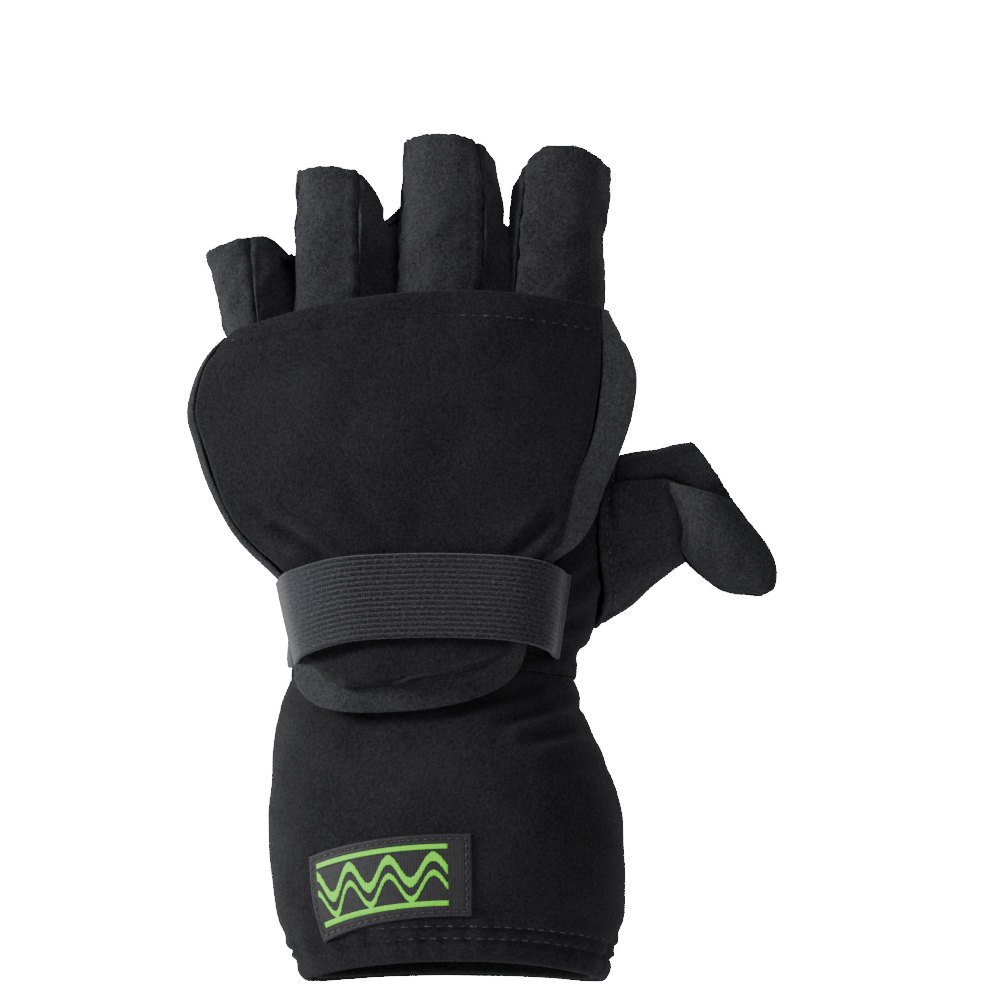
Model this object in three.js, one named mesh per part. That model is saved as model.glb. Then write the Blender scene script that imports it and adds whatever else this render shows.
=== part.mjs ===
import * as THREE from 'three';

// A flip-top fishing glove for the left hand, in its worn form.
// Fingers point to +Z and the back of the hand faces -Y, so the thumb is on the +X side.
// The origin is the middle of the cuff's mouth. Lengths are millimetres.

// Driving sizes: walls and clearances
const fleeceWall = 2.2;
const gussetWall = 1.4;
const elasticWall = 1.6;
const labelWall = 0.8;
const seamGap = 0.3;

// Driving sizes: cuff
const cuffHeight = 87;
const cuffWidth = 106;
const cuffDepth = 74;
const cuffHemHeight = 12;
const mouthDip = 3.6;
const labelLength = 48;
const labelHeight = 24;

// Driving sizes: hand and fingers
const handHeight = 106;
const handWidth = 112;
const handDepth = 44;
const knuckleDrop = 8;
const fingerWidth = 27;
const fingerDepth = 26;
const fingerLength = 57.5;
const rimDip = 1.2;
const fingerSwell = 2.8;

// Driving sizes: thumb
const thumbHoleHeight = 54;
const thumbHoleTurn = 0.19;
const thumbReach = 31;
const thumbRise = 18;
const thumbMouth = 22.6;
const thumbSwell = 2;
const thumbCapLength = 33;
const thumbCapWidth = 25;
const thumbCapDepth = 13;

// Driving sizes: mitten cap and strap
const capLength = 120;
const capWidth = 134;
const capMouthArch = 6.3;
const capTipRoll = 8;
const gussetBulge = 2;
const gussetLeast = 5.2;
const restGap = 0.7;
const capHemHeight = 9;
const strapHeight = 25;
const strapWidth = 88;
const strapRise = 37;

// Heights that the pieces share
const handBottom = cuffHeight + seamGap;
const handTop = handBottom + handHeight;
const handCentreX = -0.03 * handWidth;

// Smooth reading of one column of a table whose rows stand at rising shares of a length
function reading(rows, column, share) {
  let last = rows.length - 2;
  while (last > 0 && rows[last].at > share) last -= 1;
  const slope = (a, b) => (rows[b][column] - rows[a][column]) / (rows[b].at - rows[a].at);
  const tangent = (i) => {
    if (i === 0) return slope(0, 1);
    if (i === rows.length - 1) return slope(i - 1, i);
    const before = slope(i - 1, i);
    const after = slope(i, i + 1);
    return (before + after) / 2;
  };
  const span = rows[last + 1].at - rows[last].at;
  const t = THREE.MathUtils.clamp((share - rows[last].at) / span, 0, 1);
  const start = rows[last][column];
  const end = rows[last + 1][column];
  return (2 * t ** 3 - 3 * t ** 2 + 1) * start + (t ** 3 - 2 * t ** 2 + t) * span * tangent(last)
    + (3 * t ** 2 - 2 * t ** 3) * end + (t ** 3 - t ** 2) * span * tangent(last + 1);
}

const mix = THREE.MathUtils.lerp;
const smooth = (t) => THREE.MathUtils.smoothstep(t, 0, 1);

// A point of a rounded section: turn 0 is +X, a quarter is -Y, a half is -X, three quarters is +Y
function sectionPoint({ left, right, back, palm }, turn, fullness) {
  const angle = turn * 2 * Math.PI;
  const push = (value) => Math.sign(value) * Math.abs(value) ** (2 / fullness);
  return {
    x: (left + right) / 2 + (right - left) / 2 * push(Math.cos(angle)),
    y: (back + palm) / 2 - (palm - back) / 2 * push(Math.sin(angle)),
  };
}

// The surface offset along its own normal, for a wall's far face or a piece that lies on another
function offsetSurface(surface, distance) {
  const step = 0.004;
  return (u, v) => {
    const [uLow, uHigh] = [u - step, u + step];
    const [vLow, vHigh] = [Math.max(v - step, 0), Math.min(v + step, 1)];
    const along = surface(uHigh, v).sub(surface(uLow, v));
    const up = surface(u, vHigh).sub(surface(u, vLow));
    const normal = up.cross(along).normalize();
    return surface(u, v).addScaledVector(normal, distance);
  };
}

// A closed wall between a surface and its offset; u runs round or across, v runs along
function wallBetween(name, colour, near, far, columns, rows, ring = false) {
  const positions = [];
  const across = ring ? columns : columns + 1;
  for (const surface of [near, far]) {
    for (let row = 0; row <= rows; row += 1) {
      for (let column = 0; column < across; column += 1) {
        positions.push(...surface(column / columns, row / rows).toArray());
      }
    }
  }
  const layer = across * (rows + 1);
  const index = [];
  const point = (side, row, column) => side * layer + row * across + (column % across);
  const quad = (a, b, c, d) => index.push(a, b, c, a, c, d);
  for (let row = 0; row < rows; row += 1) {
    for (let column = 0; column < columns; column += 1) {
      const corners = [[row, column], [row, column + 1], [row + 1, column + 1], [row + 1, column]];
      quad(...corners.map(([r, c]) => point(0, r, c)));
      quad(...corners.reverse().map(([r, c]) => point(1, r, c)));
    }
  }
  const edge = (r0, c0, r1, c1) => quad(point(0, r0, c0), point(1, r0, c0), point(1, r1, c1), point(0, r1, c1));
  for (let column = 0; column < columns; column += 1) {
    edge(0, column, 0, column + 1);
    edge(rows, column + 1, rows, column);
  }
  if (!ring) {
    for (let row = 0; row < rows; row += 1) {
      edge(row + 1, 0, row, 0);
      edge(row, columns, row + 1, columns);
    }
  }
  const geometry = new THREE.BufferGeometry();
  geometry.setAttribute('position', new THREE.Float32BufferAttribute(positions, 3));
  geometry.setIndex(index);
  if (signedVolume(geometry) < 0) geometry.setIndex(index.reverse());
  geometry.computeVertexNormals();
  const mesh = new THREE.Mesh(geometry, new THREE.MeshStandardMaterial({ color: colour, roughness: 0.95 }));
  mesh.name = name;
  return mesh;
}

function signedVolume(geometry) {
  const position = geometry.getAttribute('position');
  const corners = [new THREE.Vector3(), new THREE.Vector3(), new THREE.Vector3()];
  let volume = 0;
  for (let i = 0; i < geometry.index.count; i += 3) {
    corners.forEach((corner, k) => corner.fromBufferAttribute(position, geometry.index.getX(i + k)));
    volume += corners[0].dot(corners[1].cross(corners[2])) / 6;
  }
  return volume;
}

const glove = new THREE.Group();
const fleeceColour = 0x2b2b2d;
const elasticColour = 0x3f3f43;
const labelColour = 0x333236;

// A wall of cloth whose outer face is the surface, with its thickness going inwards
function cloth(name, surface, columns, rows, { ring = false, wall = fleeceWall, colour = fleeceColour } = {}) {
  glove.add(wallBetween(name, colour, surface, offsetSurface(surface, -wall), columns, rows, ring));
}

// The same surface run the other way across, which turns the wall's side
const mirrored = (surface) => (u, v) => surface(1 - u, v);

// Cuff: sides as shares of cuffWidth, back and palm as shares of cuffDepth, full squares the section
const cuffRows = [
  { at: 0.00, left: -0.430, right: 0.405, back: -0.420, palm: 0.420, full: 2.15 },
  { at: 0.10, left: -0.478, right: 0.432, back: -0.465, palm: 0.450, full: 2.15 },
  { at: 0.22, left: -0.515, right: 0.462, back: -0.495, palm: 0.475, full: 2.15 },
  { at: 0.42, left: -0.530, right: 0.467, back: -0.500, palm: 0.480, full: 2.15 },
  { at: 0.60, left: -0.531, right: 0.445, back: -0.480, palm: 0.465, full: 2.15 },
  { at: 0.76, left: -0.524, right: 0.395, back: -0.430, palm: 0.430, full: 2.20 },
  { at: 0.90, left: -0.508, right: 0.345, back: -0.360, palm: 0.385, full: 2.30 },
  { at: 1.00, left: -0.478, right: 0.322, back: -0.325, palm: 0.355, full: 2.45 },
];

function cuffPoint(turn, share) {
  const section = {};
  for (const side of ['left', 'right']) section[side] = reading(cuffRows, side, share) * cuffWidth;
  for (const side of ['back', 'palm']) section[side] = reading(cuffRows, side, share) * cuffDepth;
  const { x, y } = sectionPoint(section, turn, reading(cuffRows, 'full', share));
  const dip = mouthDip * Math.cos(turn * 2 * Math.PI) ** 2 * (1 - share) ** 2;
  return new THREE.Vector3(x, y, share * cuffHeight - dip);
}

cloth('cuff', cuffPoint, 36, 11, { ring: true });

// The hem is the cuff's own edge, turned up inside the mouth
const hemShare = cuffHemHeight / cuffHeight;
const hemFace = (turn, v) => offsetSurface(cuffPoint, -fleeceWall - seamGap)(turn, v * hemShare);
cloth('cuff_hem', hemFace, 36, 1, { ring: true });

// The label lies on the cuff near the mouth; its places are shares of the cuff's turn and height
const labelPlace = { fromTurn: 0.385, leftDrop: 0.058, bottom: 0.152 };
const labelTurn = labelLength / (Math.PI * (cuffWidth + cuffDepth) / 2) * 0.9;
const labelFace = (u, v) => {
  const turn = labelPlace.fromTurn - u * labelTurn;
  const share = labelPlace.bottom - labelPlace.leftDrop * (1 - u) ** 2 + v * labelHeight / cuffHeight;
  return offsetSurface(cuffPoint, labelWall + seamGap)(turn, share);
};
cloth('cuff_label', mirrored(labelFace), 8, 3, { wall: labelWall, colour: labelColour });

// Hand: sides as shares of handWidth, back and palm as shares of handDepth
const handRows = [
  { at: 0.00, left: -0.452, right: 0.304, back: -0.545, palm: 0.596, full: 2.45 },
  { at: 0.06, left: -0.448, right: 0.306, back: -0.535, palm: 0.590, full: 2.45 },
  { at: 0.12, left: -0.446, right: 0.338, back: -0.520, palm: 0.575, full: 2.50 },
  { at: 0.24, left: -0.460, right: 0.390, back: -0.500, palm: 0.555, full: 2.50 },
  { at: 0.45, left: -0.520, right: 0.406, back: -0.488, palm: 0.530, full: 2.50 },
  { at: 0.70, left: -0.570, right: 0.408, back: -0.460, palm: 0.480, full: 2.50 },
  { at: 1.00, left: -0.605, right: 0.388, back: -0.385, palm: 0.420, full: 2.50 },
];

// The finger bases stand on one shallow arch over the knuckles
const knuckleHeight = (x) => handTop - knuckleDrop * ((x - handCentreX) / (handWidth * 0.6)) ** 2;

function handPoint(turn, share) {
  const section = {};
  for (const side of ['left', 'right']) section[side] = reading(handRows, side, share) * handWidth;
  for (const side of ['back', 'palm']) section[side] = reading(handRows, side, share) * handDepth;
  const { x, y } = sectionPoint(section, turn, reading(handRows, 'full', share));
  return new THREE.Vector3(x, y, mix(handBottom, knuckleHeight(x) - seamGap, share));
}

// Depth of the glove's back at a place of the front view, where the cap and the strap lie on it
function backOfGlove(x, z) {
  const onHand = z > handBottom;
  const rows = onHand ? handRows : cuffRows;
  const [width, depth] = onHand ? [handWidth, handDepth] : [cuffWidth, cuffDepth];
  const share = onHand ? (z - handBottom) / handHeight : z / cuffHeight;
  const [left, right] = ['left', 'right'].map((side) => reading(rows, side, share) * width);
  const [back, palm] = ['back', 'palm'].map((side) => reading(rows, side, share) * depth);
  const reach = Math.min(Math.abs(2 * x - left - right) / (right - left), 1);
  const fullness = reading(rows, 'full', share);
  return (back + palm) / 2 - (palm - back) / 2 * (1 - reach ** fullness) ** (1 / fullness);
}

// The thumb hole is an almond across the thumb-side seam of the two hand panels
const thumbHole = { middle: 0.40, seamTurn: -0.025 };
const holeHalfShare = thumbHoleHeight / 2 / handHeight;
function holeHalfTurn(share) {
  const reach = (share - thumbHole.middle) / holeHalfShare;
  return Math.abs(reach) < 1 ? thumbHoleTurn / 2 * (1 - reach ** 2) ** 0.75 : 0;
}

const seamTurn = seamGap / (handWidth + handDepth) / 1.5;
const outerSeamTurn = 0.5;
const handBackFace = (u, v) => {
  const thumbEdge = thumbHole.seamTurn + seamTurn + holeHalfTurn(v);
  return handPoint(mix(thumbEdge, outerSeamTurn - seamTurn, u), v);
};
const handPalmFace = (u, v) => {
  const thumbEdge = 1 + thumbHole.seamTurn - seamTurn - holeHalfTurn(v);
  return handPoint(mix(outerSeamTurn + seamTurn, thumbEdge, u), v);
};
cloth('hand_back', handBackFace, 13, 20);
cloth('hand_palm', handPalmFace, 13, 20);

// Fingers: places and arch as shares of handWidth and handDepth, widths, depths and length as
// shares of the finger sizes, slant as rise across the rim's width, seams as turns of the section
const fingers = [
  {
    name: 'little', base: -0.535, rim: -0.568, baseWidth: 0.660, rimWidth: 0.960, baseDepth: 0.98, rimDepth: 0.90,
    length: 0.58, baseArch: 0.07, rimArch: 0.14, slant: -0.06, backSeams: [0.250, 0.5], palmSeams: [0.5, 0.88],
  },
  {
    name: 'ring', base: -0.319, rim: -0.321, baseWidth: 1.060, rimWidth: 1.000, baseDepth: 1.12, rimDepth: 0.96,
    length: 0.86, baseArch: 0.02, rimArch: 0.07, slant: -0.24, backSeams: [0.165, 0.47], palmSeams: [0.61, 0.88],
  },
  {
    name: 'middle', base: -0.042, rim: -0.027, baseWidth: 1.140, rimWidth: 1.020, baseDepth: 1.18, rimDepth: 1.00,
    length: 1.00, baseArch: 0.00, rimArch: 0.05, slant: -0.08, backSeams: [0.100, 0.46], palmSeams: [0.61, 0.88],
    swell: 1,
  },
  {
    name: 'index', base: 0.240, rim: 0.273, baseWidth: 1.150, rimWidth: 1.060, baseDepth: 1.12, rimDepth: 0.98,
    length: 0.98, baseArch: 0.02, rimArch: 0.07, slant: 0.08, backSeams: [0.000, 0.38], palmSeams: [0.61, 1.0],
  },
];
const fingerFullness = 2.2;

function fingerPoint(finger, turn, share) {
  const centreX = mix(finger.base, finger.rim, share) * handWidth;
  const halfWidth = mix(finger.baseWidth, finger.rimWidth, share) * fingerWidth / 2;
  const halfDepth = mix(finger.baseDepth, finger.rimDepth, share) * fingerDepth / 2;
  const centreY = mix(finger.baseArch, finger.rimArch, share) * handDepth;
  const swell = (finger.swell ?? 0) * fingerSwell * Math.sin(Math.PI * THREE.MathUtils.clamp(share, 0, 1));
  const section = {
    left: centreX - halfWidth, right: centreX + halfWidth + swell,
    back: centreY - halfDepth, palm: centreY + halfDepth,
  };
  const { x, y } = sectionPoint(section, turn, fingerFullness);
  const dip = rimDip * Math.cos(turn * 2 * Math.PI) ** 2;
  const rise = share * (finger.length * fingerLength + finger.slant * (x - centreX) - dip);
  return new THREE.Vector3(x, y, knuckleHeight(x) + seamGap + rise);
}

const fingerSeamTurn = seamGap / (fingerWidth + fingerDepth) / 1.5;
for (const finger of fingers) {
  const panel = ([from, to]) => (u, v) => fingerPoint(finger, mix(from + fingerSeamTurn, to - fingerSeamTurn, u), v);
  cloth(`${finger.name}_finger_back`, panel(finger.backSeams), 7, 6);
  cloth(`${finger.name}_finger_palm`, panel(finger.palmSeams), 7, 6);
}

// Fourchettes: one strip runs down the side of a finger, over the web and up the next finger.
// The web is a share of the taller finger's length, and its ends fall to the panels' seams.
const webs = [
  { lower: 'little', upper: 'ring', web: 0.80 },
  { lower: 'ring', upper: 'middle', web: 0.80 },
  { lower: 'middle', upper: 'index', web: 0.62 },
];
const webHalf = 0.22;
for (const { lower, upper, web } of webs) {
  const [thumbless, thumbward] = [lower, upper].map((name) => fingers.find((finger) => finger.name === name));
  const lowest = (fleeceWall + 3 * seamGap) / fingerLength;
  const foot = (finger, u) => {
    const arch = Math.max(Math.sin(Math.PI * u), 0) ** 0.7;
    const share = mix(lowest, web * Math.min(thumbless.length, thumbward.length), arch);
    return share / finger.length;
  };
  const edge = fingerSeamTurn;
  const sideOfLower = (u, climb) => {
    const turn = mix(thumbless.backSeams[0] - edge, thumbless.palmSeams[1] - 1 + edge, u);
    return fingerPoint(thumbless, turn, mix(foot(thumbless, u), 1, climb));
  };
  const sideOfUpper = (u, climb) => {
    const turn = mix(thumbward.backSeams[1] + edge, thumbward.palmSeams[0] - edge, u);
    return fingerPoint(thumbward, turn, mix(foot(thumbward, u), 1, climb));
  };
  const stripFace = (u, v) => {
    const along = 2 * v - 1;
    const climb = Math.max(Math.abs(along) - webHalf, 0) / (1 - webHalf);
    const over = smooth((along + webHalf) / (2 * webHalf));
    return sideOfLower(u, climb).lerp(sideOfUpper(u, climb), over);
  };
  cloth(`${lower}_${upper}_fourchette`, stripFace, 4, 16);
}

// Thumb stall: from the almond hole out to a round mouth that points to +X and a little up
const thumbMouthCentre = new THREE.Vector3(
  0.405 * handWidth + thumbReach, 0.12 * handDepth, handBottom + thumbHole.middle * handHeight + thumbRise,
);
const thumbAxis = new THREE.Vector3(0.825, 0, 0.565);
const thumbUp = new THREE.Vector3(-0.565, 0, 0.825);
const holeClearance = 0.88;
function thumbFace(u, v) {
  const angle = (u - 0.25) * 2 * Math.PI;
  const share = thumbHole.middle + Math.sin(angle) * holeHalfShare * holeClearance;
  const side = Math.cos(angle) * thumbHoleTurn / 2 * Math.abs(Math.cos(angle)) ** 0.5 * holeClearance;
  const root = handPoint(thumbHole.seamTurn + side, share);
  const mouth = thumbMouthCentre.clone().addScaledVector(thumbUp, Math.sin(angle) * thumbMouth / 2);
  mouth.y -= Math.cos(angle) * thumbMouth * 0.52;
  const swell = new THREE.Vector3(0, -Math.cos(angle) * thumbSwell * Math.sin(Math.PI * v), 0);
  return root.lerp(mouth, v).add(swell);
}
cloth('thumb_stall', (u, v) => thumbFace(1 - u, v), 20, 7, { ring: true });

// A sewn panel between a left and a right edge, crowned towards one face
function panelFace(rows, sizes, faceOf) {
  return (u, v) => {
    const left = { x: reading(rows, 'leftX', v), z: reading(rows, 'leftZ', v) };
    const right = { x: reading(rows, 'rightX', v), z: reading(rows, 'rightZ', v) };
    const across = 2 * u - 1;
    const crown = 1 - Math.abs(across) ** 2.2;
    const y = mix(faceOf.edge(v, across), faceOf.middle(v), crown);
    return new THREE.Vector3(
      sizes.x + mix(left.x, right.x, u) * sizes.width, y, sizes.z + mix(left.z, right.z, u) * sizes.length,
    );
  };
}

// Thumb cap: places from the thumb mouth's centre, as shares of the cap's width and length;
// stand is the seam's place and front and back are the two layers' swell, as shares of its depth
const thumbCapRows = [
  { at: 0.00, leftX: -0.62, leftZ: -0.13, rightX: 0.24, rightZ: -0.28, stand: -0.51, front: 0.40, back: 0.18 },
  { at: 0.17, leftX: -0.50, leftZ: -0.31, rightX: 0.41, rightZ: -0.44, stand: -0.46, front: 0.44, back: 0.24 },
  { at: 0.36, leftX: -0.44, leftZ: -0.52, rightX: 0.58, rightZ: -0.61, stand: -0.32, front: 0.44, back: 0.28 },
  { at: 0.56, leftX: -0.44, leftZ: -0.73, rightX: 0.72, rightZ: -0.79, stand: -0.11, front: 0.40, back: 0.28 },
  { at: 0.74, leftX: -0.28, leftZ: -0.89, rightX: 0.76, rightZ: -0.93, stand: 0.11, front: 0.36, back: 0.26 },
  { at: 0.89, leftX: -0.02, leftZ: -1.03, rightX: 0.71, rightZ: -1.06, stand: 0.25, front: 0.26, back: 0.20 },
  { at: 1.00, leftX: 0.24, leftZ: -1.10, rightX: 0.55, rightZ: -1.12, stand: 0.31, front: 0.08, back: 0.08 },
];
const thumbCapSizes = {
  x: thumbMouthCentre.x, z: thumbMouthCentre.z, width: thumbCapWidth, length: thumbCapLength,
};
const thumbCapStand = thumbMouthCentre.y - thumbMouth * 0.52 - fleeceWall;
function thumbCapLayer(side, swell) {
  const seamY = (v) => thumbCapStand + reading(thumbCapRows, 'stand', v) * thumbCapDepth
    + side * (fleeceWall + seamGap / 2);
  return panelFace(thumbCapRows, thumbCapSizes, {
    edge: seamY,
    middle: (v) => seamY(v) + side * reading(thumbCapRows, swell, v) * thumbCapDepth,
  });
}
cloth('thumb_cap_front', thumbCapLayer(-1, 'front'), 8, 8);
cloth('thumb_cap_back', mirrored(thumbCapLayer(1, 'back')), 8, 8);

// Mitten cap: places from the middle of its mouth, as shares of capWidth and capLength.
// left and right follow the seam round the visible panel, out- columns the seam of the hidden one.
// edge and middle are the visible panel's depths, under and rest the hidden one's, of handDepth.
const capRows = [
  { at: 0.00, leftX: -0.510, leftZ: -0.072, rightX: 0.316, rightZ: -0.011, outLeft: -0.518, outRight: 0.334,
    edge: -0.48, middle: -0.78, under: -0.26, rest: -0.40 },
  { at: 0.17, leftX: -0.571, leftZ: -0.164, rightX: 0.318, rightZ: -0.163, outLeft: -0.582, outRight: 0.395,
    edge: -0.49, middle: -0.79, under: -0.24, rest: -0.42 },
  { at: 0.27, leftX: -0.591, leftZ: -0.263, rightX: 0.309, rightZ: -0.263, outLeft: -0.605, outRight: 0.389,
    edge: -0.49, middle: -0.79, under: -0.24, rest: -0.43 },
  { at: 0.37, leftX: -0.574, leftZ: -0.352, rightX: 0.291, rightZ: -0.352, outLeft: -0.588, outRight: 0.367,
    edge: -0.49, middle: -0.79, under: -0.25, rest: -0.44 },
  { at: 0.46, leftX: -0.548, leftZ: -0.444, rightX: 0.260, rightZ: -0.444, outLeft: -0.560, outRight: 0.330,
    edge: -0.49, middle: -0.79, under: -0.26, rest: -0.45 },
  { at: 0.57, leftX: -0.502, leftZ: -0.556, rightX: 0.238, rightZ: -0.556, outLeft: -0.512, outRight: 0.292,
    edge: -0.48, middle: -0.78, under: -0.27, rest: -0.45 },
  { at: 0.64, leftX: -0.454, leftZ: -0.618, rightX: 0.218, rightZ: -0.618, outLeft: -0.466, outRight: 0.252,
    edge: -0.45, middle: -0.78, under: -0.27, rest: -0.45 },
  { at: 0.69, leftX: -0.406, leftZ: -0.668, rightX: 0.166, rightZ: -0.668, outLeft: -0.420, outRight: 0.184,
    edge: -0.43, middle: -0.775, under: -0.27, rest: -0.45 },
  { at: 0.78, leftX: -0.340, leftZ: -0.760, rightX: 0.145, rightZ: -0.760, outLeft: -0.350, outRight: 0.157,
    edge: -0.43, middle: -0.77, under: -0.27, rest: -0.45 },
  { at: 0.89, leftX: -0.324, leftZ: -0.860, rightX: 0.120, rightZ: -0.860, outLeft: -0.334, outRight: 0.132,
    edge: -0.47, middle: -0.775, under: -0.30, rest: -0.45 },
  { at: 0.95, leftX: -0.300, leftZ: -0.922, rightX: 0.060, rightZ: -0.922, outLeft: -0.352, outRight: 0.125,
    edge: -0.64, middle: -0.80, under: -0.42, rest: -0.60 },
  { at: 1.00, leftX: -0.246, leftZ: -0.965, rightX: -0.110, rightZ: -0.965, outLeft: -0.285, outRight: -0.010,
    edge: -0.82, middle: -0.825, under: -0.665, rest: -0.67 },
];
const capMouthHeight = handTop + 4;
const capSizes = { x: 0, z: capMouthHeight, width: capWidth, length: capLength };
const capColumn = (column) => (v) => reading(capRows, column, v) * handDepth;

// The hidden panel's seam lies on the glove, and the visible panel's seam stands clear in front of it
const lapped = fleeceWall + 2 * seamGap;
function outerSeam(v, side) {
  const x = reading(capRows, side < 0 ? 'outLeft' : 'outRight', v) * capWidth;
  const z = capMouthHeight + reading(capRows, side < 0 ? 'leftZ' : 'rightZ', v) * capLength;
  const rolled = z - capTipRoll * smooth((v - 0.8) / 0.2);
  return new THREE.Vector3(x, Math.min(capColumn('under')(v), backOfGlove(x, rolled) - restGap), rolled);
}
const atTip = (v) => smooth((v - 0.85) / 0.15);
function visibleSeamY(v, side) {
  const x = reading(capRows, side < 0 ? 'leftX' : 'rightX', v) * capWidth;
  const z = capMouthHeight + reading(capRows, side < 0 ? 'leftZ' : 'rightZ', v) * capLength;
  const under = backOfGlove(x, z) - restGap;
  const lowest = mix(Math.min(outerSeam(v, side).y, under), under, atTip(v));
  return Math.min(capColumn('edge')(v), lowest - gussetLeast - 2 * lapped);
}
const capPanel = panelFace(capRows, capSizes, {
  edge: (v, across) => visibleSeamY(v, Math.sign(across)),
  middle: capColumn('middle'),
});
const capFrontFace = (u, v) => {
  const point = capPanel(u, v);
  point.z += capMouthArch * (1 - (2 * u - 1) ** 2) * (1 - v) ** 3;
  return point;
};
cloth('mitten_cap_front', capFrontFace, 12, 15);

const capHemShare = capHemHeight / capLength;
const hemInset = 0.05;
const capHemFace = (u, v) => offsetSurface(capFrontFace, -fleeceWall - seamGap)(
  mix(hemInset, 1 - hemInset, u), v * capHemShare,
);
cloth('mitten_cap_hem', capHemFace, 12, 1);

// Path along the gusset: down the left side, round the tip and up the right side
const tipFrom = 0.44;
const tipTo = 0.56;
function alongGusset(t, sideCurve) {
  if (t < tipFrom) return sideCurve(t / tipFrom, -1);
  if (t > tipTo) return sideCurve((1 - t) / (1 - tipTo), 1);
  return sideCurve(1, -1).lerp(sideCurve(1, 1), (t - tipFrom) / (tipTo - tipFrom));
}
const gussetFace = (u, v) => {
  const inner = alongGusset(v, (share, side) => capFrontFace(side < 0 ? 0 : 1, share));
  const outer = alongGusset(v, outerSeam);
  const round = Math.abs(2 * v - 1);
  inner.y += lapped + (1 - round) ** 2 * 2 * seamGap;
  outer.y -= lapped + gussetWall;
  const middle = inner.clone().lerp(outer, 0.5);
  const outward = new THREE.Vector3(Math.sign(v - 0.5) * round ** 0.5, 0, round - 1);
  middle.addScaledVector(outward, gussetBulge);
  return inner.multiplyScalar((1 - u) ** 2).addScaledVector(middle, 2 * u * (1 - u)).addScaledVector(outer, u ** 2);
};
cloth('mitten_cap_gusset', mirrored(gussetFace), 3, 44, { wall: gussetWall });

// The hidden panel lies on the back of the hand and is sewn on at the knuckles
const backPanelFrom = 0.10;
const backInset = 3;
const capBackFace = (u, v) => {
  const share = mix(backPanelFrom, 1, v);
  const left = outerSeam(share, -1);
  const right = outerSeam(share, 1);
  left.x += backInset;
  right.x -= backInset;
  const point = left.lerp(right, u);
  point.z += 2 * backInset * smooth((share - 0.8) / 0.2);
  const crown = mix(point.y, capColumn('rest')(share), 1 - Math.abs(2 * u - 1) ** 2.4);
  const onGlove = backOfGlove(point.x, point.z) - restGap;
  point.y = mix(Math.min(crown, onGlove), onGlove, atTip(share));
  return point;
};
cloth('mitten_cap_back', mirrored(capBackFace), 12, 13);

// Strap: a band over the folded cap, sewn to both sides of the hand.
// x is a share of strapWidth, y of strapRise, lift moves the band's centre line by its height
const strapRows = [
  { at: 0.00, x: -0.630, y: 0.10, lift: -0.34 },
  { at: 0.10, x: -0.640, y: -0.18, lift: -0.31 },
  { at: 0.20, x: -0.632, y: -0.55, lift: -0.25 },
  { at: 0.29, x: -0.578, y: -0.85, lift: -0.14 },
  { at: 0.38, x: -0.425, y: -0.98, lift: -0.01 },
  { at: 0.50, x: -0.200, y: -1.01, lift: 0.04 },
  { at: 0.66, x: 0.050, y: -1.00, lift: 0.04 },
  { at: 0.80, x: 0.235, y: -0.93, lift: 0.00 },
  { at: 0.91, x: 0.335, y: -0.76, lift: -0.07 },
  { at: 1.00, x: 0.380, y: -0.44, lift: -0.12 },
];
const strapCentre = handBottom + 0.18 * handHeight;
const strapTaper = 0.1;
const strapFace = (u, v) => {
  const x = reading(strapRows, 'x', u) * strapWidth * (1 - strapTaper * (1 - v));
  const y = reading(strapRows, 'y', u) * strapRise;
  const z = strapCentre + (reading(strapRows, 'lift', u) + v - 0.5) * strapHeight;
  return new THREE.Vector3(x, Math.min(y, backOfGlove(x, z) - elasticWall - restGap), z);
};
cloth('elastic_strap', mirrored(strapFace), 24, 2, { wall: elasticWall, colour: elasticColour });

export default glove;
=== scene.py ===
# A flip-top fishing glove for the left hand, in its worn form: a gauntlet cuff, a hand with cut
# finger stalls, a mitten cap folded back under an elastic strap, and a folded thumb cap.
# Every piece is cut as a panel of cloth in millimetres, and its mesh is made in metres.
import math

import bpy
import numpy as np
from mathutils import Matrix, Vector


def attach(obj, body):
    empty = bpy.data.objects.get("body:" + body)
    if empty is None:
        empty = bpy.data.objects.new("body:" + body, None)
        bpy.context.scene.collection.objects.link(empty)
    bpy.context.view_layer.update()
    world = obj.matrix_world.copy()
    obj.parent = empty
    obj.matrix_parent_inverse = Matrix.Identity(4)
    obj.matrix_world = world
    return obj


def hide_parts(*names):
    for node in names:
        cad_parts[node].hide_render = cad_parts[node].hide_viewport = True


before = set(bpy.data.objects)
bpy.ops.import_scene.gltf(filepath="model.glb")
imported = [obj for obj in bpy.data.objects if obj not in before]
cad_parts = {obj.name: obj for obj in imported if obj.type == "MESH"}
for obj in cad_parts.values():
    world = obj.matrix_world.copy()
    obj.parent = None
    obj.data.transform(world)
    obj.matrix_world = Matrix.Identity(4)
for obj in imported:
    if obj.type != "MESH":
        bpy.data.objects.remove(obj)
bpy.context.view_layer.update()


# Cuff
# The gauntlet cuff is a wide tube of brushed fleece that bulges below the wrist and draws in at
# the hand. It is one panel sewn into a ring, with its mouth turned in to make the hem.
FLEECE_THICK = 2.2
CUFF_HEIGHT, CUFF_WIDTH, CUFF_DEPTH = 87.0, 106.0, 74.0
MOUTH_DIP, MOUTH_RADIUS, HEM_RIPPLE = 3.6, 42.0, 8.5
HEM_STITCH_HEIGHTS = (6.9, 10.3)
FAR = 1e3  # further from an edge than its relief reaches
NAP_LENGTH, NAP_HALF_THICK, NAP_ROOT, NAP_PER_MM2 = 0.75, 0.045, 0.12, 1.6
BARE_OF_NAP = ("cuff_hem", "mitten_cap_hem", "mitten_cap_back")


def table(columns, *rows):
    """Rows of numbers under named columns."""
    return dict(zip(columns.split(), np.array([[float(x) for x in row.split()] for row in rows]).T))


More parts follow.
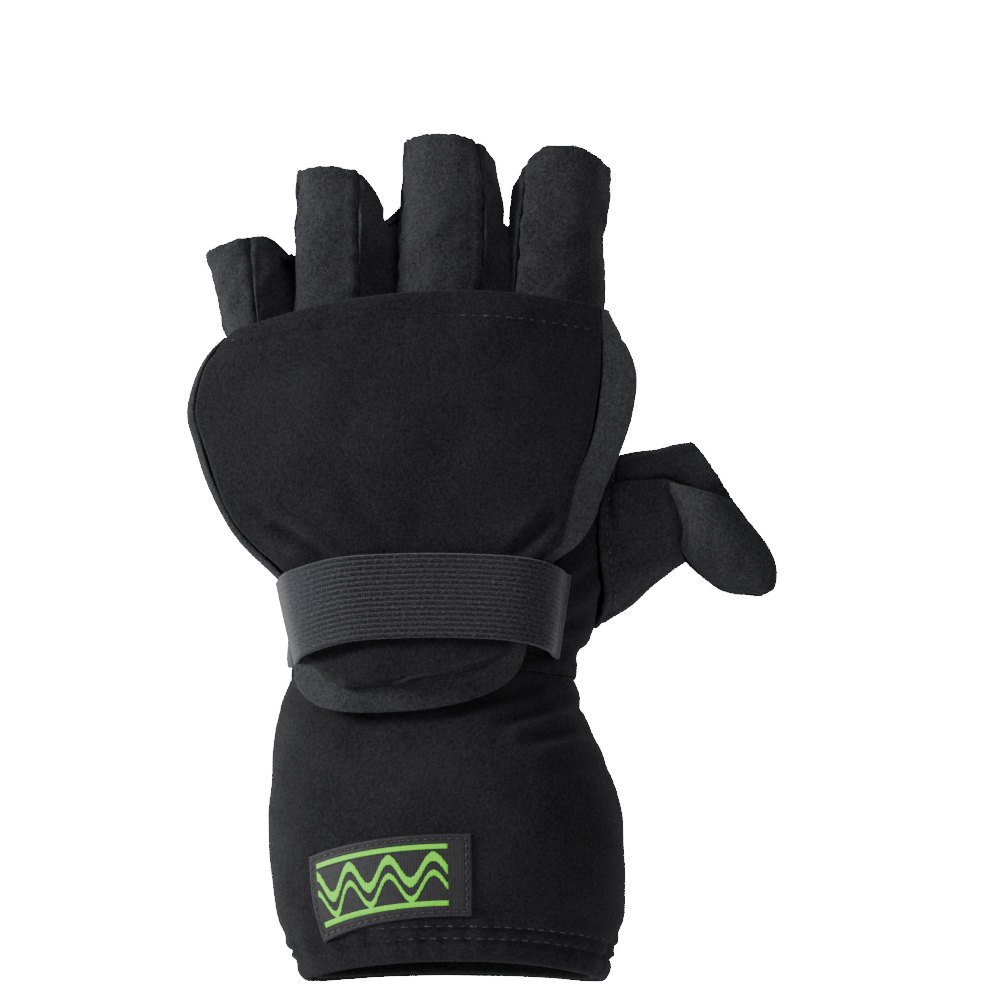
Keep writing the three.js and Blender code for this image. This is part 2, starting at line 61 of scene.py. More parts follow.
def reading(rows, column, share):
    """Smooth reading of one column of a table at a share of its length."""
    at, value = rows["at"], rows[column]
    slope = np.diff(value) / np.diff(at)
    tangent = np.concatenate([slope[:1], (slope[1:] + slope[:-1]) / 2, slope[-1:]])
    i = np.clip(np.searchsorted(at, share, side="right") - 1, 0, len(at) - 2)
    span = at[i + 1] - at[i]
    t = np.clip((share - at[i]) / span, 0, 1)
    start, end = value[i], value[i + 1]
    return ((2 * t**3 - 3 * t**2 + 1) * start + (t**3 - 2 * t**2 + t) * span * tangent[i]
            + (3 * t**2 - 2 * t**3) * end + (t**3 - t**2) * span * tangent[i + 1])


def smooth(t):
    t = np.clip(t, 0, 1)
    return t * t * (3 - 2 * t)


def mix(a, b, t):
    return a + (b - a) * t


def bell(distance, width):
    return np.exp(-(distance / width) ** 2)


def section(left, right, back, palm, turn, fullness):
    """Rounded section: turn 0 is the thumb side, a quarter the back, a half the little-finger side."""
    angle = turn * 2 * math.pi
    push = lambda value: np.sign(value) * np.abs(value) ** (2 / fullness)
    x = (left + right) / 2 + (right - left) / 2 * push(np.cos(angle))
    y = (back + palm) / 2 - (palm - back) / 2 * push(np.sin(angle))
    return x, y


def tube(rows, width, depth, turn, share):
    """A place on a tube whose sections are a table's rows."""
    sides = [reading(rows, side, share) * width for side in ("left", "right")]
    depths = [reading(rows, side, share) * depth for side in ("back", "palm")]
    return section(*sides, *depths, turn, reading(rows, "full", share))


def normal_of(face, u, v):
    step = 0.004
    along = face(u + step, v) - face(u - step, v)
    up = face(u, np.minimum(v + step, 1)) - face(u, np.maximum(v - step, 0))
    normal = np.cross(up, along)
    return normal / np.maximum(np.linalg.norm(normal, axis=-1, keepdims=True), 1e-9)


def lumps(points, size, seed):
    """Soft unevenness of worn cloth, with swells about size millimetres across and 1 high at most
    places."""
    draw = np.random.default_rng(seed)
    total = np.zeros(points.shape[:-1])
    for _ in range(9):
        direction = draw.normal(size=3)
        direction *= 2 * math.pi / (size * draw.uniform(0.9, 1.9)) / np.linalg.norm(direction)
        total += np.sin(points @ direction + draw.uniform(0, 2 * math.pi))
    return total / 3.5


def fold(points, start, end, width, depth):
    """A fold pressed into the cloth between two places (x, z), with a soft lip along each side."""
    start, end = np.array(start, float), np.array(end, float)
    line = end - start
    place = points[..., [0, 2]] - start
    t = np.clip(place @ line / (line @ line), 0, 1)
    away = np.linalg.norm(place - t[..., None] * line, axis=-1)
    fade = np.sin(math.pi * (0.08 + 0.84 * t)) ** 0.8
    return fade * depth * (0.45 * bell(away - 2.1 * width, 1.1 * width) - bell(away, width))


def folded(points, rows):
    """The folds of a table together."""
    return sum(fold(points, (x, z), (to_x, to_z), width, depth)
               for x, z, to_x, to_z, width, depth in zip(*rows.values()))


def tuck(distance, radius):
    """How far a rolled edge has turned in at a distance from it."""
    if not radius:
        return 0 * distance
    x = np.clip(1 - distance / radius, 0, 1)
    return radius * (1 - np.sqrt(1 - x * x))


def marks(length, pitch, start, end):
    """Shares of a length, close together where an edge is rolled."""
    turn = np.array([0, 0.05, 0.17, 0.36, 0.64, 1.0])
    low = turn * start if start else np.zeros(1)
    high = length - (turn * end if end else np.zeros(1))[::-1]
    count = max(int(round((high[0] - low[-1]) / pitch)), 1)
    middle = np.linspace(low[-1], high[0], count + 1)
    return np.concatenate([low[:-1], middle, high[1:]]) / length


def path_length(points):
    return np.linalg.norm(np.diff(points, axis=0), axis=1).sum()


def mesh_piece(name, places, faces, finishes, finish_of=None, flat=None):
    """One piece of the glove from its places in millimetres, shaded smooth."""
    mesh = bpy.data.meshes.new(name)
    mesh.from_pydata(np.asarray(places).reshape(-1, 3) * 0.001, [], faces)
    for finish in finishes:
        mesh.materials.append(finish)
    if finish_of is not None:
        mesh.polygons.foreach_set("material_index", np.asarray(finish_of, np.int32))
    if flat is not None:
        corners = np.empty(len(mesh.loops), np.int32)
        mesh.loops.foreach_get("vertex_index", corners)
        layer = mesh.uv_layers.new(name="flat")
        layer.data.foreach_set("uv", (np.asarray(flat).reshape(-1, 2)[corners] * 0.001).ravel())
    mesh.polygons.foreach_set("use_smooth", np.ones(len(mesh.polygons), bool))
    mesh.update()
    piece = bpy.data.objects.new(name, mesh)
    bpy.context.scene.collection.objects.link(piece)
    return piece


def sewn_panel(name, face, finishes, wall=FLEECE_THICK, pitch=1.3, pitch_across=None, ring=False,
               outer_roll=(0, 0, 0, 0), inner_roll=(0, 0, 0, 0), relief=None, ragged=0.0):
    """A wall of cloth under its outer face, as one closed mesh.

    The rolls are the radii of its four edges, at the start and end across and along, and relief
    gives the folds and dents as heights over the face. finishes are outside, lining and cut edge,
    and ragged is how far a cut edge is rough.
    """
    line = np.linspace(0, 1, 60)
    half = np.full(60, 0.5)
    wide = path_length(face(line, half))
    long = max(path_length(face(np.full(60, u), line)) for u in (0.0, 0.5, 1.0))
    left, right, low, high = (max(a, b) for a, b in zip(outer_roll, inner_roll))
    if ring:
        count = int(round(wide / pitch))
        across = np.arange(count) / count
    else:
        across = marks(wide, pitch_across or pitch, left, right)
    along = marks(long, pitch, low, high)
    u, v = np.meshgrid(across, along)
    places, normal = face(u, v), normal_of(face, u, v)

    def travelled(axis):
        step = np.linalg.norm(np.diff(places, axis=axis), axis=-1)
        start = np.zeros_like(step.take([0], axis=axis))
        return np.cumsum(np.concatenate([start, step], axis=axis), axis=axis)

    x, z = travelled(1), travelled(0)
    edges = (x, x[:, -1:] - x, z, z[-1:] - z)
    if ring:
        edges = (x + FAR, x + FAR, z, z[-1:] - z)
    height = np.zeros_like(x) if relief is None else relief(places, normal, *edges)
    outer_in = np.max([tuck(d, r) for d, r in zip(edges, outer_roll)], axis=0)
    inner_in = np.max([tuck(d, r) for d, r in zip(edges, inner_roll)], axis=0)
    if ragged:
        fray = lumps(places, 1.7, 5) + 0.7 * lumps(places, 0.8, 6)
        places = places + ragged * (fray * bell(edges[3], 0.9))[..., None] * np.array([0, 0, 1.0])
    outer = places + normal * (height - outer_in)[..., None]
    inner = places + normal * (0.9 * height - wall + inner_in)[..., None]

    rows, columns = x.shape
    layer = rows * columns
    grid = np.arange(layer).reshape(rows, columns)
    if ring:
        grid = np.concatenate([grid, grid[:, :1]], axis=1)
    a, b, c, d = grid[:-1, :-1], grid[:-1, 1:], grid[1:, 1:], grid[1:, :-1]
    face_grid = np.stack([a, b, c, d], axis=-1).reshape(-1, 4)
    rims = [(grid[0, 1:], grid[0, :-1]), (grid[-1, :-1], grid[-1, 1:])]
    if not ring:
        rims += [(grid[:-1, 0], grid[1:, 0]), (grid[1:, -1], grid[:-1, -1])]
    rim = np.concatenate([np.stack([p, q, q + layer, p + layer], axis=-1) for p, q in rims])
    faces = np.concatenate([face_grid, face_grid[:, ::-1] + layer, rim])
    finish_of = np.repeat([0, 1, 2], [len(face_grid), len(face_grid), len(rim)])
    points = np.concatenate([outer.reshape(-1, 3), inner.reshape(-1, 3)])
    p = points[faces[:, [0, 1, 2]]]
    q = points[faces[:, [0, 2, 3]]]
    volume = (np.cross(p[:, 0], p[:, 1]) * p[:, 2]).sum() + (np.cross(q[:, 0], q[:, 1]) * q[:, 2]).sum()
    if volume < 0:
        faces = faces[:, ::-1]
    flat = np.stack([x.ravel(), z.ravel()], axis=-1)
    return mesh_piece(name, points, faces, finishes, finish_of, np.concatenate([flat, flat]))


def linear(hex_colour):
    """An sRGB hex colour as linear light."""
    values = [int(hex_colour[i:i + 2], 16) / 255 for i in (1, 3, 5)]
    return [x / 12.92 if x <= 0.04045 else ((x + 0.055) / 1.055) ** 2.4 for x in values] + [1.0]


def add(tree, kind, inputs=None, **settings):
    """A node with its settings, and its inputs set to values or linked to other nodes' outputs."""
    node = tree.nodes.new(kind)
    for key, value in settings.items():
        setattr(node, key, value)
    for key, value in (inputs or {}).items():
        if isinstance(value, bpy.types.NodeSocket):
            tree.links.new(value, node.inputs[key])
        else:
            node.inputs[key].default_value = value
    return node


def new_finish(name):
    finish = bpy.data.materials.new(name)
    finish.use_nodes = True
    finish.node_tree.nodes.clear()
    return finish, finish.node_tree


def close_finish(tree, shader):
    add(tree, "ShaderNodeOutputMaterial", {"Surface": shader.outputs[0]})


def brushed_fleece(name, dark, light, nap_mm, sheen, painted_side_light=0.0):
    """Polyester fleece, knitted and then brushed: a short dense nap that scatters light, so it has
    no gloss, a soft bright rim at grazing angles, and a mottle where the nap lies different ways.
    Wear makes it patchy, and the last argument lightens it towards the thumb's side, which is painted light
    on the side the key light leaves in shade."""
    finish, tree = new_finish(name)
    place = add(tree, "ShaderNodeTexCoord").outputs["Object"]
    nap = add(tree, "ShaderNodeTexNoise", {"Vector": place, "Scale": 1000 / nap_mm, "Detail": 3.0,
                                           "Roughness": 0.6}).outputs["Fac"]
    tufts = add(tree, "ShaderNodeTexNoise", {"Vector": place, "Scale": 1000 / (2.4 * nap_mm),
                                             "Detail": 2.0, "Roughness": 0.6}).outputs["Fac"]
    wear = add(tree, "ShaderNodeTexNoise", {"Vector": place, "Scale": 1000 / 30, "Detail": 5.0,
                                            "Roughness": 0.62, "Distortion": 0.4}).outputs["Fac"]
    mottle = add(tree, "ShaderNodeMath", {0: tufts, 1: 0.6, 2: nap}, operation="MULTIPLY_ADD").outputs[0]
    mixed = add(tree, "ShaderNodeMath", {0: wear, 1: 0.45, 2: mottle}, operation="MULTIPLY_ADD").outputs[0]
    spread = add(tree, "ShaderNodeMapRange", {"Value": mixed, "From Min": 0.785,
                                              "From Max": 1.285}).outputs[0]
    colour = add(tree, "ShaderNodeMix", {0: spread, 6: linear(dark), 7: linear(light)},
                 data_type="RGBA").outputs[2]
    # Painted light: the colour is lifted towards the thumb's side, which faces away from the key light.
    if painted_side_light:
        across = add(tree, "ShaderNodeSeparateXYZ", {"Vector": place}).outputs["X"]
        painted_side_lift = add(tree, "ShaderNodeMapRange", {"Value": across, "From Min": 0.012, "From Max": 0.04,
                                                  "To Min": 1.0, "To Max": 1.0 + painted_side_light}).outputs[0]
        colour = add(tree, "ShaderNodeVectorMath", {0: colour, "Scale": painted_side_lift},
                     operation="SCALE").outputs[0]
    relief = add(tree, "ShaderNodeMath", {0: tufts, 1: 0.9, 2: nap}, operation="MULTIPLY_ADD").outputs[0]
    bump = add(tree, "ShaderNodeBump", {"Height": relief, "Strength": 0.7, "Distance": 0.0006}).outputs[0]
    close_finish(tree, add(tree, "ShaderNodeBsdfPrincipled", {
        "Base Color": colour, "Roughness": 0.97, "IOR": 1.45, "Specular IOR Level": 0.1, "Normal": bump,
        "Sheen Weight": sheen, "Sheen Roughness": 0.5, "Sheen Tint": linear("#b9b9c2")}))
    return finish


outer_fleece = brushed_fleece("brushed fleece, nap side", "#0d0d0e", "#2a2a2d", 0.4, 0.06)
fleece_lining = brushed_fleece("fleece lining, pile side", "#0f0f10", "#202022", 1.0, 0.03)
# The cut edge is coloured darker than the nap side, as painted shade for the rims.
cut_fleece = brushed_fleece("raw cut fleece edge", "#090909", "#161617", 0.5, 0.01)
FLEECE = (outer_fleece, fleece_lining, cut_fleece)

cuff_rows = table(
    "at    left    right   back    palm   full",
    "0.00  -0.430  0.405  -0.420   0.420  2.15",
    "0.10  -0.478  0.432  -0.465   0.450  2.15",
    "0.22  -0.515  0.462  -0.495   0.475  2.15",
    "0.42  -0.530  0.467  -0.500   0.480  2.15",
    "0.60  -0.531  0.445  -0.480   0.465  2.15",
    "0.76  -0.524  0.395  -0.430   0.430  2.20",
    "0.90  -0.508  0.345  -0.360   0.385  2.30",
    "1.00  -0.478  0.322  -0.325   0.355  2.45",
)


def cuff_face(turn, share):
    x, y = tube(cuff_rows, CUFF_WIDTH, CUFF_DEPTH, turn, share)
    dip = MOUTH_DIP * np.cos(turn * 2 * math.pi) ** 2 * (1 - share) ** 2
    return np.stack([x, y, share * CUFF_HEIGHT - dip], axis=-1)


def on_back(normal):
    return smooth(-normal[..., 1] * 2.5)


def banded(height, rows):
    """Soft ridges and grooves that run across the cloth at the heights of a table."""
    return sum(rise * bell(height - middle, width) for middle, width, rise in zip(*rows.values()))


hem_bands = table(
    "height width rise",
    " 3.2   2.2    0.7",
    " 8.6   1.0    0.5",
    "12.6   1.5    0.45",
    "15.5   2.2   -0.5",
)


def hem_puckers(points, from_mouth):
    """Two stitched lines pull the hem in, and the cloth puffs and ripples between and beside them."""
    pull = sum(bell(from_mouth - height, 0.85) for height in HEM_STITCH_HEIGHTS)
    round_mouth = np.arctan2(points[..., 1], points[..., 0]) * MOUTH_RADIUS
    ripple = np.sin(round_mouth * 2 * math.pi / HEM_RIPPLE + 2.4 * lumps(points, 19, 3))
    return banded(from_mouth, hem_bands) - 0.85 * pull + 0.28 * ripple * bell(from_mouth - 8, 5.5)


cuff_back_folds = table(
    "x    z    toX  toZ   width depth",
    " 41  82    12  70.5  2.1   2.0",
    " 40  71    20  66    1.9   1.9",
    " 44  60    27  57    2.2   1.1",
    "-50  80   -24  73    2.6   1.3",
    " 30  84    -6  75    2.8   1.2",
    "-54  66   -41  60    2.6   0.7",
)
cuff_palm_folds = table(
    "x    z    toX  toZ   width depth",
    " 40  78    -6  71    2.4   1.6",
    "-52  76   -10  69    2.6   1.4",
    " 44  60    14  57    2.6   0.9",
    "-48  40   -20  34    3.0   0.8",
)


def under_label(points, normal):
    """Where the cuff lies smooth because the label is sewn to it."""
    x, z = points[..., 0], points[..., 2]
    return smooth((x + 51) / 5) * smooth((6 - x) / 5) * smooth((46 - z) / 6) * on_back(normal)


def cuff_relief(points, normal, left, right, low, high):
    soft = 0.4 * lumps(points, 34, 11) + 0.25 * lumps(points, 13, 12)
    folds = mix(folded(points, cuff_palm_folds), folded(points, cuff_back_folds), on_back(normal))
    return (1 - under_label(points, normal)) * (soft + folds) + hem_puckers(points, low)


def loose_nap(finish, piece, seed):
    """Single fibres that stand off the nap side of a piece, which soften its outline. They are
    sparser and thicker than real ones, which are too fine to show."""
    mesh = piece.data
    corners = np.empty(len(mesh.polygons) * 4, np.int32)
    mesh.polygons.foreach_get("vertices", corners)
    kinds = np.empty(len(mesh.polygons), np.int32)
    mesh.polygons.foreach_get("material_index", kinds)
    places = np.empty(len(mesh.vertices) * 3)
    mesh.vertices.foreach_get("co", places)
    quads = (places.reshape(-1, 3) * 1000)[corners.reshape(-1, 4)[kinds == 0]]
    normals = np.cross(quads[:, 2] - quads[:, 0], quads[:, 3] - quads[:, 1])
    areas = np.linalg.norm(normals, axis=1)
    draw = np.random.default_rng(seed)
    count = int(areas.sum() / 2 * NAP_PER_MM2)
    pick = draw.choice(len(quads), count, p=areas / areas.sum())
    s, t = draw.random((2, count, 1))
    q, up = quads[pick], (normals / np.maximum(areas, 1e-9)[:, None])[pick]
    root = (q[:, 0] * (1 - s) + q[:, 1] * s) * (1 - t) + (q[:, 3] * (1 - s) + q[:, 2] * s) * t
    lean = draw.normal(size=(count, 3)) * 0.75 + (0, 0, -0.25)
    along = up * draw.uniform(0.25, 1.0, (count, 1)) + lean - up * (lean * up).sum(axis=1, keepdims=True)
    along /= np.linalg.norm(along, axis=1, keepdims=True)
    side = np.cross(along, up)
    side *= NAP_HALF_THICK / np.maximum(np.linalg.norm(side, axis=1, keepdims=True), 1e-6)
    tip = root + along * NAP_LENGTH * draw.uniform(0.4, 1.2, (count, 1))
    root = root - up * NAP_ROOT
    fibres = np.stack([root - side, root + side, tip], axis=1)
    faces = np.arange(count * 3).reshape(-1, 3)
    return mesh_piece(piece.name.replace("_cloth", "_nap"), fibres, faces, [finish])


def loose_fibre(name, colour):
    """A single crimped polyester fibre, smoother than the nap as a whole, so it catches light at
    the outline."""
    finish, tree = new_finish(name)
    place = add(tree, "ShaderNodeTexCoord").outputs["Object"]
    vary = add(tree, "ShaderNodeTexNoise", {"Vector": place, "Scale": 1000 / 1.11,
                                            "Detail": 1.0}).outputs["Fac"]
    tone = add(tree, "ShaderNodeMix", {0: vary, 6: linear("#101011"), 7: linear(colour)},
               data_type="RGBA").outputs[2]
    close_finish(tree, add(tree, "ShaderNodeBsdfPrincipled", {
        "Base Color": tone, "Roughness": 0.7, "IOR": 1.5, "Specular IOR Level": 0.15}))
    return finish


nap_fibre = loose_fibre("loose polyester fibre of the nap", "#3c3c40")


def seat(piece, node, slot="fleece"):
    """The sewn piece takes the place of its plain solid."""
    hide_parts(node)
    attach(piece, "root")
    if slot == "fleece" and node not in BARE_OF_NAP:
        fuzz = loose_nap(nap_fibre, piece, len(node))
        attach(fuzz, "root")


cuff = sewn_panel("cuff_cloth", cuff_face, FLEECE, ring=True, outer_roll=(0, 0, 1.3, 0.7),
                  inner_roll=(0, 0, 0.8, 0), relief=cuff_relief)
seat(cuff, "cuff")


# Cuff hem
# The cuff's own edge turned up inside the mouth and held by two rows of lockstitch in black
# polyester thread, which show as short bright dashes sunk into the fleece.
CUFF_HEM_HEIGHT = 12.0
SEAM_GAP = 0.3
STITCH_SIDES, STITCH_STATIONS = 6, 7
WAVE_SCALE = 314  # a wave texture repeats every 0.314 m divided by its scale


def lifted(face, distance):
    """The face of a piece that lies on another, or under it."""
    return lambda u, v: face(u, v) + normal_of(face, u, v) * distance


def hem_face(turn, v):
    return lifted(cuff_face, -FLEECE_THICK - SEAM_GAP)(turn, v * CUFF_HEM_HEIGHT / CUFF_HEIGHT)


def hem_relief(points, normal, left, right, low, high):
    return -0.35 * hem_puckers(points, low)


cuff_hem = sewn_panel("cuff_hem_cloth", hem_face, FLEECE, ring=True, outer_roll=(0, 0, 0.6, 0),
                      inner_roll=(0, 0, 1.2, 0.9), relief=hem_relief)
seat(cuff_hem, "cuff_hem")


def polyester_thread(name, dark, light):
    """Spun polyester sewing thread, with fine slanting highlights and shade painted along the plies of each
    stitch.
    """
    finish, tree = new_finish(name)
    place = add(tree, "ShaderNodeTexCoord").outputs["Object"]
    twist_and_highlight = add(tree, "ShaderNodeTexWave", {"Vector": place, "Scale": WAVE_SCALE / 0.6, "Distortion": 3.0,
                                            "Detail": 1.0}, bands_direction="DIAGONAL").outputs["Fac"]
    # Painted highlight and shade: slanting bands run from dark to light along each stitch.
    colour = add(tree, "ShaderNodeMix", {0: twist_and_highlight, 6: linear(dark), 7: linear(light)},
                 data_type="RGBA").outputs[2]
    bump = add(tree, "ShaderNodeBump", {"Height": twist_and_highlight, "Strength": 0.5, "Distance": 0.0001}).outputs[0]
    close_finish(tree, add(tree, "ShaderNodeBsdfPrincipled", {
        "Base Color": colour, "Roughness": 0.55, "IOR": 1.5, "Specular IOR Level": 0.35, "Normal": bump}))
    return finish


black_thread = polyester_thread("spun polyester thread, black", "#18181a", "#4a4a4e")


def stitch_row(name, points, normals, finish, length=2.5, gap=0.9, thick=0.5, closed=False):
    """A row of lockstitches along a line on the cloth, each one a short thread sunk at its ends."""
    if closed:
        points, normals = np.concatenate([points, points[:1]]), np.concatenate([normals, normals[:1]])
    run = np.concatenate([[0], np.cumsum(np.linalg.norm(np.diff(points, axis=0), axis=1))])
    count = max(int(run[-1] // (length + gap)), 1)
    pitch = run[-1] / count
    sample = lambda rows, at: np.stack([np.interp(at, run, rows[:, i]) for i in range(3)], axis=-1)
    stations = np.linspace(0, 1, STITCH_STATIONS)
    bulge = np.sqrt(np.clip(1 - (2 * stations - 1) ** 4, 0.02, 1))
    angle = np.arange(STITCH_SIDES) * 2 * math.pi / STITCH_SIDES
    places, faces = [], []
    for k in range(count):
        at = k * pitch + gap / 2 + stations * (pitch - gap)
        middle, up = sample(points, at), sample(normals, at)
        along = np.gradient(middle, axis=0)
        along /= np.linalg.norm(along, axis=1, keepdims=True)
        across = np.cross(along, up)
        across /= np.linalg.norm(across, axis=1, keepdims=True)
        up = np.cross(across, along)
        middle = middle + up * (thick * 0.75 * (bulge - 0.75))[:, None]
        base = k * STITCH_STATIONS * STITCH_SIDES
        for i in range(STITCH_STATIONS):
            ring = np.outer(np.cos(angle), across[i]) + np.outer(np.sin(angle), up[i])
            places.append(middle[i] + ring * thick / 2 * bulge[i])
        first = np.arange(base, base + STITCH_SIDES)
        for ring in (first + i * STITCH_SIDES for i in range(STITCH_STATIONS - 1)):
            beside = np.roll(ring, -1)
            faces += np.stack([ring, beside, beside + STITCH_SIDES, ring + STITCH_SIDES], axis=-1).tolist()
        faces += [first[::-1].tolist(), (first + (STITCH_STATIONS - 1) * STITCH_SIDES).tolist()]
    row = mesh_piece(name, np.concatenate(places), faces, [finish])
    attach(row, "root")


def line_on(face, u, v, lift, relief=None, from_low=0.0):
    """Points and normals of a line over a face, lifted off the relief that the cloth has there."""
    u, v = np.broadcast_arrays(u, v)
    points, normals = face(u, v), normal_of(face, u, v)
    height = np.full(len(u), lift)
    if relief:
        far = np.full(len(u), FAR)
        height = height + relief(points, normals, far, far, np.full(len(u), from_low), far)
    return points + normals * height[:, None], normals


for index, height in enumerate(HEM_STITCH_HEIGHTS):
    turn = np.linspace(0, 1, 500, endpoint=False)
    points, normals = line_on(cuff_face, turn, height / CUFF_HEIGHT, 0.42, cuff_relief, height)
    stitch_row(f"cuff_hem_stitches_{index + 1}", points, normals, black_thread, closed=True)


# Cuff label
# A woven damask label with folded edges, sewn flat to the cuff near the mouth. Its lime yarn is
# floated over the dark satin ground, so the lines stand up a little and step with the threads.
LABEL_THICK = 0.8
LABEL_LENGTH, LABEL_HEIGHT = 48.0, 24.0
LABEL_FROM_TURN, LABEL_LEFT_DROP, LABEL_BOTTOM = 0.385, 0.058, 0.152
LABEL_TURN = LABEL_LENGTH / (math.pi * (CUFF_WIDTH + CUFF_DEPTH) / 2) * 0.9
LABEL_STITCH_U, LABEL_STITCH_V = 0.032, 0.062
LABEL_WAVES, WAVE_SWING = 4, 0.15
LIME_THICK = 0.16


def label_face(u, v):
    turn = LABEL_FROM_TURN - u * LABEL_TURN
    share = LABEL_BOTTOM - LABEL_LEFT_DROP * (1 - u) ** 2 + v * LABEL_HEIGHT / CUFF_HEIGHT
    return lifted(cuff_face, LABEL_THICK + SEAM_GAP)(turn, share)


def lime_yarn(u, v):
    """Where the lime yarn shows: a line along the top and bottom, and a double wave between."""
    inside = (u > 0.07) & (u < 0.88)
    rules = (np.abs(v - 0.845) < 0.028) | (np.abs(v - 0.165) < 0.028)
    swing = WAVE_SWING * np.sin(2 * math.pi * LABEL_WAVES * u)
    wave = np.abs(v - 0.58 - swing) < 0.055
    under = np.abs(v - 0.38 - swing) < 0.035
    return inside & (rules | wave | under)


def damask(name, dark, light, thread_mm, shine):
    """Woven polyester label cloth: fine even threads, a low satin sheen, and slight streaks. The
    threads are drawn about twice as coarse as real ones, which are too fine to show."""
    finish, tree = new_finish(name)
    flat = add(tree, "ShaderNodeUVMap", uv_map="flat").outputs[0]
    weft = add(tree, "ShaderNodeTexWave", {
        "Vector": flat, "Scale": WAVE_SCALE / thread_mm, "Distortion": 0.6,
        "Detail": 1.0}, bands_direction="Y").outputs["Fac"]
    warp = add(tree, "ShaderNodeTexWave", {
        "Vector": flat, "Scale": WAVE_SCALE / (1.495 * thread_mm), "Distortion": 0.8,
        "Detail": 1.0}, bands_direction="X").outputs["Fac"]
    weave = add(tree, "ShaderNodeMath", {0: weft, 1: warp}, operation="MULTIPLY").outputs[0]
    streak = add(tree, "ShaderNodeTexNoise", {"Vector": flat, "Scale": 1000 / 1.43,
                                              "Detail": 2.0}).outputs["Fac"]
    tone = add(tree, "ShaderNodeMath", {0: weave, 1: 0.6, 2: streak}, operation="MULTIPLY_ADD").outputs[0]
    spread = add(tree, "ShaderNodeMapRange", {"Value": tone, "From Min": 0.3, "From Max": 1.1}).outputs[0]
    colour = add(tree, "ShaderNodeMix", {0: spread, 6: linear(dark), 7: linear(light)},
                 data_type="RGBA").outputs[2]
    bump = add(tree, "ShaderNodeBump", {"Height": weave, "Strength": 0.6, "Distance": 0.00015}).outputs[0]
    close_finish(tree, add(tree, "ShaderNodeBsdfPrincipled", {
        "Base Color": colour, "Roughness": shine, "IOR": 1.5, "Specular IOR Level": 0.3, "Normal": bump,
        "Sheen Weight": 0.12, "Sheen Roughness": 0.4}))
    return finish


label_ground = damask("woven damask label, dark satin ground", "#141416", "#2c2b2f", 0.55, 0.62)
label_lime = damask("woven damask label, lime floats", "#4fcf00", "#7bf400", 0.55, 0.55)


def woven_label(columns, rows):
    """The label as one closed piece, with raised lime floats and its edge sewn down."""
    u, v = np.meshgrid(np.linspace(0, 1, columns + 1), np.linspace(0, 1, rows + 1))
    from_edge = np.minimum(np.minimum(u, 1 - u) * LABEL_LENGTH, np.minimum(v, 1 - v) * LABEL_HEIGHT)
    face, normal = label_face(u, v), -normal_of(label_face, u, v)
    rise = LIME_THICK * lime_yarn(u, v) - 0.22 * bell(from_edge - 1.5, 0.35) - tuck(from_edge, 0.55)
    top = face + normal * (rise + 0.05 * lumps(face, 9, 4))[..., None]
    under = face - normal * (LABEL_THICK - 0.1)
    grid = np.arange(u.size).reshape(u.shape)
    a, b, c, d = grid[:-1, :-1], grid[:-1, 1:], grid[1:, 1:], grid[1:, :-1]
    squares = np.stack([a, b, c, d], axis=-1).reshape(-1, 4)
    ring = np.concatenate([grid[0, :-1], grid[:-1, -1], grid[-1, :0:-1], grid[:0:-1, 0]])
    edge = np.stack([ring, np.roll(ring, -1)], axis=-1)
    edge = np.concatenate([edge[:, ::-1], edge + u.size], axis=-1)
    lime = lime_yarn((u[:-1, :-1] + u[1:, 1:]) / 2, (v[:-1, :-1] + v[1:, 1:]) / 2).ravel()
    flat = np.stack([u * LABEL_LENGTH, v * LABEL_HEIGHT], axis=-1).reshape(-1, 2)
    return mesh_piece(
        "cuff_label_cloth", np.concatenate([top.reshape(-1, 3), under.reshape(-1, 3)]),
        np.concatenate([squares[:, ::-1], squares + u.size, edge]), (label_ground, label_lime),
        np.concatenate([lime, np.zeros(len(squares) + len(edge), bool)]), np.concatenate([flat, flat]))


cuff_label = woven_label(176, 88)
seat(cuff_label, "cuff_label", "woven_label")

side_u = np.linspace(LABEL_STITCH_U, 1 - LABEL_STITCH_U, 160)
side_v = np.linspace(LABEL_STITCH_V, 1 - LABEL_STITCH_V, 80)
edge_u = np.concatenate([side_u, np.full(80, side_u[-1]), side_u[::-1], np.full(80, side_u[0])])
edge_v = np.concatenate([np.full(160, side_v[0]), side_v, np.full(160, side_v[-1]), side_v[::-1]])
points, normals = line_on(label_face, edge_u, edge_v, -0.16)
stitch_row("cuff_label_stitches", points, normals, black_thread, length=1.7, gap=0.7, thick=0.34,
           closed=True)


# Hand
# Two shaped panels of the same fleece, joined down the little-finger side and round an almond
# hole on the thumb side. The seams are turned in, so each joint shows as a soft groove.
HAND_HEIGHT, HAND_WIDTH, HAND_DEPTH = 106.0, 112.0, 44.0
KNUCKLE_DROP = 8.0
THUMB_HOLE_HEIGHT, THUMB_HOLE_TURN = 54.0, 0.19
THUMB_HOLE_MIDDLE, THUMB_SEAM_TURN = 0.40, -0.025
HAND_BOTTOM = CUFF_HEIGHT + SEAM_GAP
HAND_TOP = HAND_BOTTOM + HAND_HEIGHT
HAND_CENTRE = -0.03 * HAND_WIDTH
HOLE_HALF = THUMB_HOLE_HEIGHT / 2 / HAND_HEIGHT
SEAM_CLEARANCE, SEAM_LAP = -0.12, 0.5  # sewn edges meet and lap, so no light shows through a seam
SEAM_TURN = SEAM_CLEARANCE / (HAND_WIDTH + HAND_DEPTH) / 1.5

